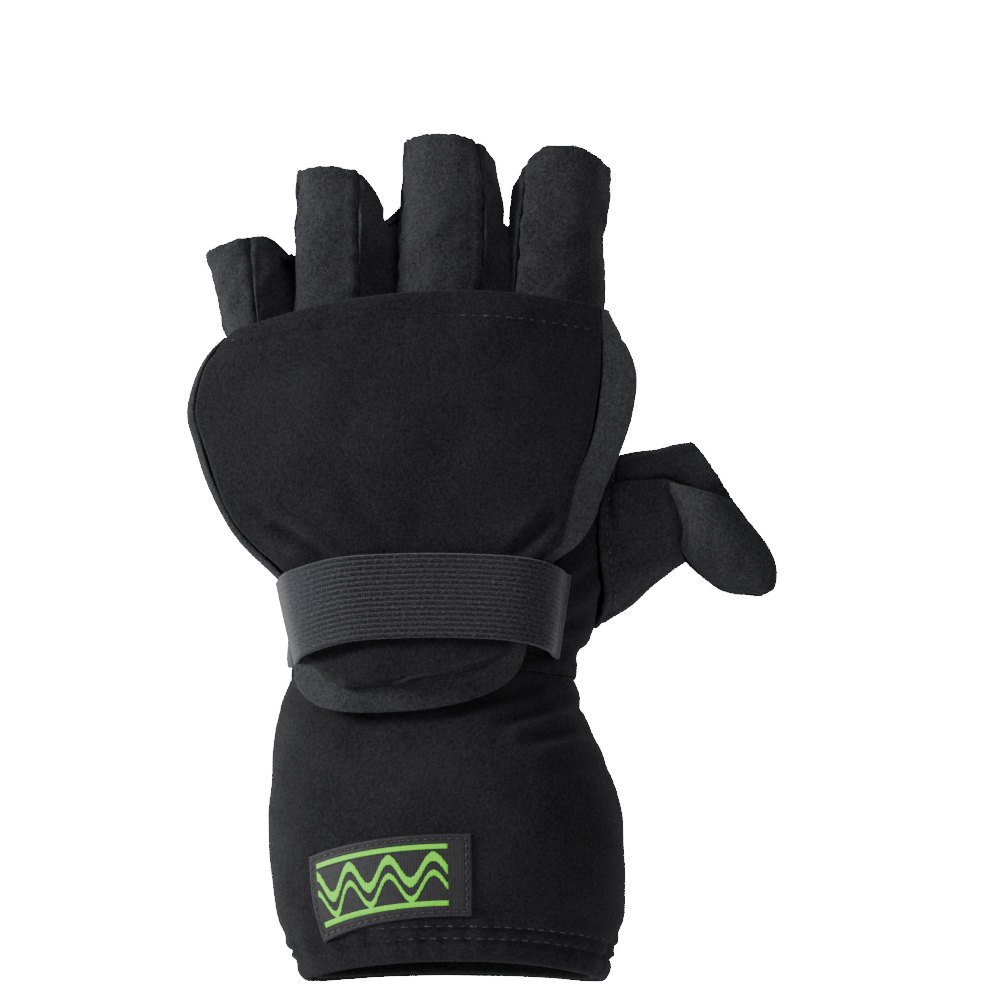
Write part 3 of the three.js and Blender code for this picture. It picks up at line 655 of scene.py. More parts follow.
hand_rows = table(
    "at    left    right   back    palm   full",
    "0.00  -0.452  0.304  -0.545   0.596  2.45",
    "0.06  -0.448  0.306  -0.535   0.590  2.45",
    "0.12  -0.446  0.338  -0.520   0.575  2.50",
    "0.24  -0.460  0.390  -0.500   0.555  2.50",
    "0.45  -0.520  0.406  -0.488   0.530  2.50",
    "0.70  -0.570  0.408  -0.460   0.480  2.50",
    "1.00  -0.605  0.388  -0.385   0.420  2.50",
)


def knuckle_height(x):
    return HAND_TOP - KNUCKLE_DROP * ((x - HAND_CENTRE) / (HAND_WIDTH * 0.6)) ** 2


def hand_face(turn, share):
    x, y = tube(hand_rows, HAND_WIDTH, HAND_DEPTH, turn, share)
    return np.stack([x, y, mix(HAND_BOTTOM - SEAM_LAP, knuckle_height(x) - SEAM_GAP, share)], axis=-1)


def back_of_glove(x, z):
    """How far out the glove's back lies, where the folded cap and the strap rest on it."""
    def depth(rows, width, thick, share):
        left, right = (reading(rows, side, share) * width for side in ("left", "right"))
        back, palm = (reading(rows, side, share) * thick for side in ("back", "palm"))
        reach = np.minimum(np.abs(2 * x - left - right) / (right - left), 1)
        fullness = reading(rows, "full", share)
        return (back + palm) / 2 - (palm - back) / 2 * (1 - reach**fullness) ** (1 / fullness)
    hand = depth(hand_rows, HAND_WIDTH, HAND_DEPTH, (z - HAND_BOTTOM) / HAND_HEIGHT)
    cuffs = depth(cuff_rows, CUFF_WIDTH, CUFF_DEPTH, z / CUFF_HEIGHT)
    return np.where(z > HAND_BOTTOM, hand, cuffs)


def hole_half_turn(share):
    reach = (share - THUMB_HOLE_MIDDLE) / HOLE_HALF
    return THUMB_HOLE_TURN / 2 * np.clip(1 - reach**2, 0, 1) ** 0.75


def hand_back_face(u, v):
    edge = THUMB_SEAM_TURN + SEAM_TURN + hole_half_turn(v)
    return hand_face(mix(edge, 0.5 - SEAM_TURN, u), v)


def hand_palm_face(u, v):
    edge = 1 + THUMB_SEAM_TURN - SEAM_TURN - hole_half_turn(v)
    return hand_face(mix(0.5 + SEAM_TURN, edge, u), v)


hand_back_folds = table(
    "x    z     toX  toZ  width depth",
    " 41.5 119   34  112  1.7   1.5",
    " 40  106    28   99  1.8   1.4",
    " 36   96    20   92  1.8   1.2",
    "-50  101   -38   95  1.9   1.3",
)
hand_palm_folds = table(
    "x    z     toX  toZ  width depth",
    " 38  150    -8  122  2.6   1.5",
    " 30  104   -40   98  2.3   1.6",
    "-56  160   -10  168  2.6   1.2",
    "-48  118   -22  112  2.2   1.1",
    " 34  176   -50  181  2.4   1.1",
)


def gathers(points, from_seam, length, reach, height, seed):
    """Small ripples that run in from a seam where the longer cloth is eased to the shorter."""
    along = points[..., 2] + 0.5 * points[..., 1]
    ripple = np.sin(2 * math.pi * along / length + 2.6 * lumps(points, 21, seed))
    return height * ripple * bell(from_seam, reach)


def hand_back_relief(points, normal, left, right, low, high):
    soft = 0.55 * lumps(points, 27, 21) + 0.2 * lumps(points, 11, 22) + folded(points, hand_back_folds)
    return soft + gathers(points, left, 5.2, 6.5, 0.32, 23) + gathers(points, low, 9, 5, 0.4, 24)


def hand_palm_relief(points, normal, left, right, low, high):
    soft = 0.7 * lumps(points, 26, 31) + 0.25 * lumps(points, 10, 32) + folded(points, hand_palm_folds)
    return soft + gathers(points, right, 9.7, 5.5, 0.34, 33) + gathers(points, low, 9, 5, 0.4, 34)


hand_back = sewn_panel("hand_back_cloth", hand_back_face, FLEECE, outer_roll=(1.1, 1.6, 0.9, 1.4),
                       relief=hand_back_relief)
hand_palm = sewn_panel("hand_palm_cloth", hand_palm_face, FLEECE, outer_roll=(1.6, 1.1, 0.9, 1.4),
                       relief=hand_palm_relief)
seat(hand_back, "hand_back")
seat(hand_palm, "hand_palm")


# Finger stalls
# Each finger is a back and a palm panel cut off square below the nail joint. The rims are raw cut edges of
# the fleece, left without a hem, so they are a little rough, and their darker colour is painted shade.
FINGER_WIDTH, FINGER_DEPTH, FINGER_LENGTH = 27.0, 26.0, 57.5
RIM_DIP, FINGER_SWELL = 1.2, 2.8
FINGER_FULLNESS = 2.2

finger_names = ("little", "ring", "middle", "index")
# Places and arches are shares of the hand's width and depth, widths, depths and lengths shares of
# a finger's own, and slant is the slope of its rim
finger_shapes = table(
    "base    rim    baseWidth rimWidth baseDepth rimDepth length baseArch rimArch slant",
    "-0.535 -0.568  0.660     0.960    0.98      0.90     0.58    0.07    0.14    -0.06",
    "-0.319 -0.321  1.060     1.000    1.12      0.96     0.86    0.02    0.07    -0.24",
    "-0.042 -0.027  1.140     1.020    1.18      1.00     1.00    0.00    0.05    -0.08",
    " 0.240  0.273  1.150     1.060    1.12      0.98     0.98    0.02    0.07     0.08",
)
# Where the back and the palm panel start and end round the finger, and how its rim falls away
finger_seams = table(
    "back0  back1  palm0  palm1  swell  fall  fallLeft",
    "0.250  0.50   0.50   0.88   0      0.6   0",
    "0.190  0.47   0.61   0.88   0      0.85  0",
    "0.150  0.46   0.61   0.88   1      0.4   0",
    "0.000  0.38   0.61   1.00   0      0.3   1.0",
)
fingers = {name: {key: column[i] for key, column in (finger_shapes | finger_seams).items()}
           for i, name in enumerate(finger_names)}


def finger_face(finger, turn, share):
    """One finger's tube, whose rim falls away at its shoulders."""
    centre = mix(finger["base"], finger["rim"], share) * HAND_WIDTH
    half_width = mix(finger["baseWidth"], finger["rimWidth"], share) * FINGER_WIDTH / 2
    half_depth = mix(finger["baseDepth"], finger["rimDepth"], share) * FINGER_DEPTH / 2
    deep = mix(finger["baseArch"], finger["rimArch"], share) * HAND_DEPTH
    swell = finger["swell"] * FINGER_SWELL * np.sin(math.pi * np.clip(share, 0, 1))
    x, y = section(centre - half_width, centre + half_width + swell, deep - half_depth, deep + half_depth,
                   turn, FINGER_FULLNESS)
    dip = RIM_DIP * np.cos(turn * 2 * math.pi) ** 2
    shoulder = 0.3 * half_width
    fall = 0.28 * (finger["fall"] * np.maximum(x - centre - shoulder, 0) ** 1.5
                   + finger["fallLeft"] * np.maximum(centre - shoulder - x, 0) ** 1.5)
    length = finger["length"] * FINGER_LENGTH + finger["slant"] * (x - centre)
    rise = share * (length - dip - share**3 * fall)
    return np.stack([x, y, knuckle_height(x) + SEAM_GAP - SEAM_LAP + rise], axis=-1)


def stall_relief(seed):
    def relief(points, normal, left, right, low, high):
        soft = 0.5 * lumps(points, 17, seed) + 0.22 * lumps(points, 7, seed + 1)
        wave = 0.35 * np.sin(points[..., 0] * 0.55 + seed) * bell(high, 5)
        seam_pull = gathers(points, np.minimum(left, right), 7.5, 3.2, 0.3, seed + 2)
        welt = 0.45 * bell(np.minimum(left, right) - 2.3, 1.2)
        return soft + wave + seam_pull + welt + 0.35 * bell(high, 2.2)
    return relief


# Its lighter colour is the fingers' own, and on the thumb stall and thumb cap it is painted light.
finger_fleece = brushed_fleece("brushed fleece, nap side, raised by wear", "#161618", "#3a3a3e", 0.42, 0.08)
FINGER_FLEECE = (finger_fleece, fleece_lining, cut_fleece)
FINGER_SEAM = SEAM_CLEARANCE / (FINGER_WIDTH + FINGER_DEPTH) / 1.5
for seed, name in enumerate(finger_names):
    finger = fingers[name]
    for side in ("back", "palm"):
        start, end = finger[side + "0"] + FINGER_SEAM, finger[side + "1"] - FINGER_SEAM
        panel = lambda u, v: finger_face(finger, mix(start, end, u), v)
        stall = sewn_panel(f"{name}_finger_{side}_cloth", panel, FINGER_FLEECE, pitch=1.0,
                           outer_roll=(1.5, 1.5, 1.2, 0.45), inner_roll=(0, 0, 0, 0.45),
                           relief=stall_relief(40 + 10 * seed + len(side)), ragged=0.2)
        seat(stall, f"{name}_finger_{side}")


# Fourchettes
# One folded strip fills the side of a finger, runs over the web and up the next finger. It lets
# the stalls spread, and its soft fold is the dark valley between two fingers.
WEB_HALF = 0.22
webs = (("little", "ring", 0.80), ("ring", "middle", 0.80), ("middle", "index", 0.62))


def strip_face(lower, upper, web):
    lowest = 0.5 * FLEECE_THICK / FINGER_LENGTH

    def foot(finger, u):
        arch = np.maximum(np.sin(math.pi * u), 0) ** 0.7
        return mix(lowest, web * min(lower["length"], upper["length"]), arch) / finger["length"]

    def face(u, v):
        along = 2 * v - 1
        climb = np.maximum(np.abs(along) - WEB_HALF, 0) / (1 - WEB_HALF)
        over = smooth((along + WEB_HALF) / (2 * WEB_HALF))[..., None]
        lower_turn = mix(lower["back0"] - FINGER_SEAM, lower["palm1"] - 1 + FINGER_SEAM, u)
        upper_turn = mix(upper["back1"] + FINGER_SEAM, upper["palm0"] - FINGER_SEAM, u)
        near = finger_face(lower, lower_turn, mix(foot(lower, u), 1, climb))
        far = finger_face(upper, upper_turn, mix(foot(upper, u), 1, climb))
        return mix(near, far, over)

    return face


def strip_relief(points, normal, left, right, low, high):
    end = np.minimum(low, high)
    crush = 0.7 * bell(end - 17, 3.5) - 0.5 * bell(end - 11, 2.5)
    welt = 0.4 * bell(np.minimum(left, right) - 2.1, 1.1)
    return 0.4 * lumps(points, 13, 71) + 0.2 * lumps(points, 6, 72) + crush * bell(left - 6, 7) + welt


for lower, upper, web in webs:
    strip = sewn_panel(f"{lower}_{upper}_fourchette_cloth", strip_face(fingers[lower], fingers[upper], web),
                       FINGER_FLEECE, pitch=1.0, outer_roll=(1.4, 1.4, 0.45, 0.45),
                       inner_roll=(0, 0, 0.45, 0.45), relief=strip_relief)
    seat(strip, f"{lower}_{upper}_fourchette")


# Thumb stall
# A tapered tube set into the almond hole, with a raw cut mouth. The cloth drags from the hole to
# the mouth in a few long soft creases.
THUMB_REACH, THUMB_RISE, THUMB_MOUTH, THUMB_SWELL = 31.0, 18.0, 22.6, 2.0
THUMB_CENTRE = np.array([0.405 * HAND_WIDTH + THUMB_REACH, 0.12 * HAND_DEPTH,
                         HAND_BOTTOM + THUMB_HOLE_MIDDLE * HAND_HEIGHT + THUMB_RISE])
THUMB_UP = np.array([-0.565, 0, 0.825])
THUMB_MOUTH_DEEP = 0.52 * THUMB_MOUTH
HOLE_CLEARANCE, THUMB_SET_IN = 0.92, 0.8
THUMB_SEAM_ROW, THUMB_SEAM_SHARE = 2.6, 0.075


def thumb_face(u, v):
    angle = (0.75 - u) * 2 * math.pi
    share = THUMB_HOLE_MIDDLE + np.sin(angle) * HOLE_HALF * HOLE_CLEARANCE
    side = np.cos(angle) * THUMB_HOLE_TURN / 2 * np.abs(np.cos(angle)) ** 0.5 * HOLE_CLEARANCE
    root = lifted(hand_face, -THUMB_SET_IN)(THUMB_SEAM_TURN + side, share)
    mouth = THUMB_CENTRE + THUMB_UP * (np.sin(angle) * THUMB_MOUTH / 2)[..., None]
    mouth = mouth - np.stack([0 * u, np.cos(angle) * THUMB_MOUTH_DEEP, 0 * u], axis=-1)
    swell = np.stack([0 * u, -np.cos(angle) * THUMB_SWELL * np.sin(math.pi * v), 0 * u], axis=-1)
    rise = THUMB_UP * ((0.3 + 0.9 * np.sin(angle)) * np.sin(math.pi * v))[..., None]
    return mix(root, mouth, v[..., None]) + swell + rise


def mirrored(face):
    return lambda u, v: face(1 - u, v)


thumb_outer = lifted(mirrored(thumb_face), FLEECE_THICK)

layer_edge = table(
    "x     z",
    "44.0  145.0",
    "56.0  145.6",
    "61.5  145.9",
    "68.4  143.2",
    "75.3  139.5",
    "82.0  137.5",
)
thumb_folds = table(
    "x   z    toX   toZ  width depth",
    "46  120  60    127  2.0   0.9",
    "44  141  45.5  130  1.2   0.9",
)


def thumb_relief(points, normal, left, right, low, high):
    """The upper layer of the folded cap lies over the stall, and its edge stands up as a lip."""
    soft = 0.6 * lumps(points, 16, 81) + 0.2 * lumps(points, 7, 82)
    x, z = points[..., 0], points[..., 2]
    edge = np.interp(x, layer_edge["x"], layer_edge["z"])
    layer = smooth((edge - z) / 0.9) * on_back(normal) * (1.2 + 1.4 * bell(x - 66, 9))
    lip = (0.35 * bell(edge - z - 1.6, 1.0) - 1.3 * bell(edge - z + 0.5, 0.55)) * on_back(normal)
    seam = gathers(points, low, 5.2, 5.5, 0.35, 83) - 0.5 * bell(low - THUMB_SEAM_ROW, 0.7)
    return soft + layer + lip + folded(points, thumb_folds) + seam


# The stall takes the lighter finger fleece, painted light that lifts it out of the shade the cap casts on
# it.
thumb_stall = sewn_panel("thumb_stall_cloth", thumb_outer, FINGER_FLEECE, ring=True, pitch=0.6,
                         outer_roll=(0, 0, 0.9, 0.45), inner_roll=(0, 0, 0, 0.45),
                         relief=thumb_relief, ragged=0.3)
seat(thumb_stall, "thumb_stall")

back_half = np.linspace(0.03, 0.47, 160)
points, normals = line_on(thumb_outer, back_half, THUMB_SEAM_SHARE, 0.2, thumb_relief, THUMB_SEAM_ROW)
stitch_row("thumb_seam_stitches", points, normals, black_thread, length=1.9, gap=0.9, thick=0.4)


# Thumb cap
# Two layers of fleece sewn round their edge into a little hood, folded back off the thumb's tip.
# It hangs from the stall's back and its turned seam runs round it as a thin ridge and groove.
THUMB_CAP_LENGTH, THUMB_CAP_WIDTH, THUMB_CAP_DEPTH = 33.0, 25.0, 13.0

thumb_cap_rows = table(
    "at    leftX  leftZ  rightX rightZ stand  front back",
    "0.00  -0.62  -0.13  0.24   -0.28  -0.51  0.40  0.18",
    "0.17  -0.50  -0.31  0.41   -0.44  -0.46  0.44  0.24",
    "0.36  -0.44  -0.52  0.58   -0.61  -0.32  0.44  0.28",
    "0.56  -0.44  -0.73  0.72   -0.79  -0.11  0.40  0.28",
    "0.74  -0.28  -0.89  0.76   -0.93   0.11  0.36  0.26",
    "0.89  -0.02  -1.03  0.71   -1.06   0.25  0.26  0.20",
    "1.00   0.24  -1.10  0.55   -1.12   0.31  0.08  0.08",
)


def panel_face(rows, place, size, edge_depth, middle_depth):
    """A sewn panel between a left and a right edge, crowned towards one face."""
    def face(u, v):
        left_x, left_z = reading(rows, "leftX", v), reading(rows, "leftZ", v)
        right_x, right_z = reading(rows, "rightX", v), reading(rows, "rightZ", v)
        across = 2 * u - 1
        crown = 1 - np.abs(across) ** 2.2
        y = mix(edge_depth(v, across), middle_depth(v), crown)
        x = place[0] + mix(left_x, right_x, u) * size[0]
        z = place[1] + mix(left_z, right_z, u) * size[1]
        return np.stack([x, y, z], axis=-1)
    return face


def thumb_cap_layer(side, swell):
    stand = THUMB_CENTRE[1] - THUMB_MOUTH_DEEP - FLEECE_THICK
    seam = lambda v: stand + reading(thumb_cap_rows, "stand", v) * THUMB_CAP_DEPTH \
        + side * (FLEECE_THICK + SEAM_CLEARANCE)
    return panel_face(thumb_cap_rows, THUMB_CENTRE[[0, 2]], (THUMB_CAP_WIDTH, THUMB_CAP_LENGTH),
                      lambda v, across: seam(v),
                      lambda v: seam(v) + side * reading(thumb_cap_rows, swell, v) * THUMB_CAP_DEPTH)


hood_dart = table(
    "x     z",
    "60.5  144.5",
    "64.2  140.0",
    "66.9  133.5",
    "67.4  129.0",
    "66.8  123.0",
)


def thumb_cap_relief(points, normal, left, right, low, high):
    """The hood is gathered by one curved dart, and a groove runs beside its seam."""
    edge = np.minimum(np.minimum(left, right), high)
    places = list(zip(*hood_dart.values()))
    dart = np.min([fold(points, p, q, 0.7, 0.9) for p, q in zip(places, places[1:])], axis=0)
    return 0.35 * lumps(points, 12, 91) + 0.15 * lumps(points, 5, 92) - 0.3 * bell(edge - 3.0, 0.9) + dart


thumb_cap_faces = {"front": thumb_cap_layer(-1, "front"), "back": mirrored(thumb_cap_layer(1, "back"))}
# The cap takes the lighter finger fleece, painted light that lifts it out of the shade beside the mitten
# cap.
thumb_cap = {side: sewn_panel(f"thumb_cap_{side}_cloth", face, FINGER_FLEECE, pitch=0.8,
                              outer_roll=(1.9, 1.9, 1.1, 1.9), inner_roll=(0, 0, 1.1, 0),
                              relief=thumb_cap_relief)
             for side, face in thumb_cap_faces.items()}
for side, cloth in thumb_cap.items():
    seat(cloth, f"thumb_cap_{side}")


# Mitten cap
# The fleece cap that covers the fingers, folded back over the hand with its tip under the strap.
# A visible and a hidden panel are sewn to a narrow gusset, which shows as a rim down both sides
# and round the tip, and the mouth is turned in over a stitched hem.
CAP_LENGTH, CAP_WIDTH = 120.0, 134.0
CAP_MOUTH_ARCH, CAP_TIP_ROLL, CAP_HEM_HEIGHT = 6.3, 8.0, 9.0
GUSSET_BULGE, GUSSET_LEAST, GUSSET_THICK = 2.0, 5.2, 1.4
REST_GAP = 0.7
CAP_MOUTH_HEIGHT = HAND_TOP + 4
TIP_ROUND = 1.4
LAPPED = FLEECE_THICK + 2 * SEAM_GAP

cap_rows = table(
    "at    leftX   leftZ   rightX  rightZ  outLeft outRight edge   middle  under   rest",
    "0.00  -0.510  -0.072   0.316  -0.011  -0.518   0.334   -0.48  -0.78   -0.26   -0.40",
    "0.17  -0.571  -0.164   0.318  -0.163  -0.582   0.395   -0.49  -0.79   -0.24   -0.42",
    "0.27  -0.591  -0.263   0.309  -0.263  -0.605   0.389   -0.49  -0.79   -0.24   -0.43",
    "0.37  -0.574  -0.352   0.291  -0.352  -0.588   0.367   -0.49  -0.79   -0.25   -0.44",
    "0.46  -0.548  -0.444   0.260  -0.444  -0.560   0.330   -0.49  -0.79   -0.26   -0.45",
    "0.57  -0.502  -0.556   0.238  -0.556  -0.512   0.292   -0.48  -0.78   -0.27   -0.45",
    "0.64  -0.454  -0.618   0.218  -0.618  -0.466   0.252   -0.45  -0.78   -0.27   -0.45",
    "0.69  -0.406  -0.668   0.166  -0.668  -0.420   0.184   -0.43  -0.775  -0.27   -0.45",
    "0.78  -0.340  -0.760   0.145  -0.760  -0.350   0.157   -0.43  -0.77   -0.27   -0.45",
    "0.89  -0.345  -0.860   0.126  -0.860  -0.368   0.150   -0.47  -0.775  -0.30   -0.45",
    "0.95  -0.318  -0.922   0.064  -0.922  -0.378   0.142   -0.64  -0.80   -0.42   -0.60",
    "1.00  -0.250  -0.965  -0.110  -0.965  -0.305   0.000   -0.82  -0.825  -0.665  -0.67",
)


def cap_depth(column, v):
    return reading(cap_rows, column, v) * HAND_DEPTH


def outer_seam(v, side):
    x = reading(cap_rows, "outLeft" if side < 0 else "outRight", v) * CAP_WIDTH
    z = CAP_MOUTH_HEIGHT + reading(cap_rows, "leftZ" if side < 0 else "rightZ", v) * CAP_LENGTH
    z = z - CAP_TIP_ROLL * smooth((v - 0.8) / 0.2) + (2.0 * smooth((v - 0.86) / 0.12) if side > 0 else 0)
    return np.stack([x, np.minimum(cap_depth("under", v), back_of_glove(x, z) - REST_GAP), z], axis=-1)


def at_tip(v):
    return smooth((v - 0.85) / 0.15)


def visible_seam_depth(v, side):
    x = reading(cap_rows, "leftX" if side < 0 else "rightX", v) * CAP_WIDTH
    z = CAP_MOUTH_HEIGHT + reading(cap_rows, "leftZ" if side < 0 else "rightZ", v) * CAP_LENGTH
    under = back_of_glove(x, z) - REST_GAP
    lowest = mix(np.minimum(outer_seam(v, side)[..., 1], under), under, at_tip(v))
    return np.minimum(cap_depth("edge", v), lowest - GUSSET_LEAST - 2 * LAPPED)


cap_panel = panel_face(
    cap_rows, (0, CAP_MOUTH_HEIGHT), (CAP_WIDTH, CAP_LENGTH),
    lambda v, across: np.where(across < 0, visible_seam_depth(v, -1), visible_seam_depth(v, 1)),
    lambda v: cap_depth("middle", v))


def cap_front_face(u, v):
    point = cap_panel(u, v)
    round_tip = smooth((v - 0.86) / 0.12) * (2.0 * u - TIP_ROUND * 4 * u * (1 - u))
    point[..., 2] += CAP_MOUTH_ARCH * (1 - (2 * u - 1) ** 2) * (1 - v) ** 3 + round_tip
    return point


cap_bands = table(
    "height width  rise",
    "137    13     0.8",
    "116     7    -0.55",
    " 88     4.5   0.5",
)
cap_folds = table(
    "x    z    toX  toZ    width depth",
    "-53  129  -38  119.5  1.7   2.6",
    "-60  134  -49  124.5  1.8   1.1",
    " 28  132   17  121    1.9   1.6",
    "-32  136  -18  121    3.2   0.9",
)


def cap_front_relief(points, normal, left, right, low, high):
    """The cap is pressed flat under the strap and puffs out softly above and below it."""
    soft = 0.75 * lumps(points, 42, 101) + 0.3 * lumps(points, 15, 102)
    pressed = banded(points[..., 2], cap_bands) + folded(points, cap_folds)
    hem = -0.38 * bell(low - CAP_HEM_HEIGHT, 0.9) + 0.14 * bell(low - CAP_HEM_HEIGHT / 2, 3.2)
    ripple = np.sin(points[..., 0] * 0.8 + 2 * lumps(points, 16, 103))
    hem += 0.14 * ripple * bell(low - CAP_HEM_HEIGHT, 3.5)
    return soft * smooth(low / 8) + pressed + hem


mitten_cap_front = sewn_panel("mitten_cap_front_cloth", cap_front_face, FLEECE,
                              outer_roll=(2.1, 2.1, 1.1, 2.1), inner_roll=(0, 0, 1.1, 0),
                              relief=cap_front_relief)


def cap_hem_face(u, v):
    face = lifted(cap_front_face, -FLEECE_THICK - SEAM_GAP)
    return face(mix(0.05, 0.95, u), v * CAP_HEM_HEIGHT / CAP_LENGTH)


mitten_cap_hem = sewn_panel("mitten_cap_hem_cloth", cap_hem_face, FLEECE, outer_roll=(0.6, 0.6, 0.8, 0.4),
                            inner_roll=(0.6, 0.6, 1.2, 0.8))

TIP_FROM, TIP_TO = 0.44, 0.56
GUSSET_FROM, CROSS_SEAM_HEIGHT = 0.012, 187.5
tip_easing = table(
    "step    weight",
    "-0.036  1",
    "-0.024  2",
    "-0.012  3",
    " 0.000  4",
    " 0.012  3",
    " 0.024  2",
    " 0.036  1",
)


def along_gusset(t, side_curve):
    """Down the left side, round the tip and up the right side, with the tip's corners eased."""
    total = 0
    near_tip = smooth((0.25 - np.abs(t - 0.5)) / 0.1)
    for step, weight in zip(*tip_easing.values()):
        at = t + step * near_tip
        left = side_curve(np.clip(at / TIP_FROM, 0, 1), -1)
        right = side_curve(np.clip((1 - at) / (1 - TIP_TO), 0, 1), 1)
        over = np.clip((at - TIP_FROM) / (TIP_TO - TIP_FROM), 0, 1)
        place = mix(left, right, over[..., None])
        place[..., 2] -= TIP_ROUND * 4 * over * (1 - over)
        total = total + place * weight
    return total / tip_easing["weight"].sum()


def gusset_face(u, v):
    v = mix(GUSSET_FROM, 1, np.clip(v, 0, 1))
    inner = along_gusset(v, lambda share, side: cap_front_face(np.full_like(share, side > 0), share))
    outer = along_gusset(v, outer_seam)
    reach = np.abs(2 * v - 1)
    inner[..., 1] += LAPPED + (1 - reach) ** 2 * 2 * SEAM_GAP - 1.1 - 0.5 * smooth((reach - 0.95) / 0.05)
    outer[..., 1] -= LAPPED + GUSSET_THICK - 0.4
    at_mouth = 1 - 0.7 * smooth((reach - 0.9) / 0.1)
    middle = mix(inner, outer, 0.5)
    sideways = np.sign(v - 0.5) * reach**0.5 * at_mouth
    middle = middle + GUSSET_BULGE * np.stack([sideways, 0 * v, reach - 1], axis=-1)
    u = u[..., None]
    return inner * (1 - u) ** 2 + middle * 2 * u * (1 - u) + outer * u**2


def gusset_relief(points, normal, left, right, low, high):
    cross_seam = -0.55 * bell(points[..., 2] - CROSS_SEAM_HEIGHT, 0.9) * smooth(points[..., 0] / 5)
    return 0.3 * lumps(points, 14, 111) + cross_seam


# The gusset is a lighter fleece, and towards the thumb's side it is painted lighter still as painted light.
gusset_fleece = brushed_fleece("brushed fleece, nap side, rubbed pale at the thumb", "#19191b", "#3d3d41",
                               0.42, 0.1, painted_side_light=0.8)
GUSSET_FLEECE = (gusset_fleece, fleece_lining, cut_fleece)
mitten_cap_gusset = sewn_panel("mitten_cap_gusset_cloth", mirrored(gusset_face), GUSSET_FLEECE,
                               wall=GUSSET_THICK, pitch=0.9, outer_roll=(0.6, 0.6, 0.5, 0.5),
                               relief=gusset_relief)

BACK_PANEL_FROM, BACK_INSET = 0.10, 3.0


def cap_back_face(u, v):
    share = mix(BACK_PANEL_FROM, 1, v)
    left, right = outer_seam(share, -1), outer_seam(share, 1)
    left[..., 0] += BACK_INSET
    right[..., 0] -= BACK_INSET
    point = mix(left, right, u[..., None])
    point[..., 2] += 2 * BACK_INSET * smooth((share - 0.8) / 0.2)
    crown = mix(point[..., 1], cap_depth("rest", share), 1 - np.abs(2 * u - 1) ** 2.4)
    on_glove = back_of_glove(point[..., 0], point[..., 2]) - REST_GAP
    point[..., 1] = mix(np.minimum(crown, on_glove), on_glove, at_tip(share))
    return point


mitten_cap_back = sewn_panel("mitten_cap_back_cloth", mirrored(cap_back_face), FLEECE, pitch=2.0,
                             outer_roll=(0.9, 0.9, 0.9, 0.9), inner_roll=(0.9, 0.9, 0.9, 0.9))
seat(mitten_cap_front, "mitten_cap_front")
seat(mitten_cap_hem, "mitten_cap_hem")
seat(mitten_cap_gusset, "mitten_cap_gusset")
seat(mitten_cap_back, "mitten_cap_back")

hem_row = CAP_HEM_HEIGHT / CAP_LENGTH * 0.98
points, normals = line_on(cap_front_face, np.linspace(0.03, 0.97, 260), hem_row, 0.08, cap_front_relief,
                          CAP_HEM_HEIGHT)
stitch_row("mitten_cap_hem_stitches", points, normals, black_thread, length=2.4, gap=1.0, thick=0.42)


# Elastic strap
# A 25 mm band of woven elastic, sewn into the hand's two side seams. Rubber cords under a polyester cover
# give it raised lengthwise ribs, with painted shade in the grooves between them that gives way to an even
# grey near the ends, where it is pulled round the sides.
STRAP_HEIGHT, STRAP_WIDTH, STRAP_RISE, STRAP_THICK = 25.0, 88.0, 37.0, 1.6
STRAP_TAPER = 0.1
STRAP_RIBS = 16
STRAP_CENTRE = HAND_BOTTOM + 0.18 * HAND_HEIGHT

strap_rows = table(
    "at    x       y      lift",
    "0.00  -0.600   0.10  -0.20",
    "0.10  -0.622  -0.18  -0.20",
    "0.20  -0.620  -0.55  -0.20",
    "0.29  -0.578  -0.85  -0.14",
    "0.38  -0.425  -0.98  -0.01",
    "0.50  -0.200  -1.01   0.04",
    "0.66   0.050  -1.00   0.04",
    "0.80   0.235  -0.93   0.00",
    "0.91   0.335  -0.76  -0.07",
    "1.00   0.380  -0.44  -0.12",
)


def strap_face(u, v):
    x = reading(strap_rows, "x", u) * STRAP_WIDTH * (1 - STRAP_TAPER * (1 - v))
    y = reading(strap_rows, "y", u) * STRAP_RISE
    z = STRAP_CENTRE + (reading(strap_rows, "lift", u) + v - 0.5) * STRAP_HEIGHT
    return np.stack([x, np.minimum(y, back_of_glove(x, z) - STRAP_THICK - REST_GAP), z], axis=-1)


def strap_relief(points, normal, left, right, low, high):
    total = low + high
    taut = smooth((right - 32) / 22) * smooth((left - 3) / 14)
    phase = low / total * STRAP_RIBS * 2 * math.pi
    ribs = (0.5 - 0.5 * np.cos(phase)) ** 0.6 * mix(0.06, 0.55, taut)
    sewn = -0.5 * bell(left - 2.5, 0.8) - 0.5 * bell(left - 5.0, 0.8)
    return ribs + sewn + 0.25 * lumps(points, 22, 121) - 0.2


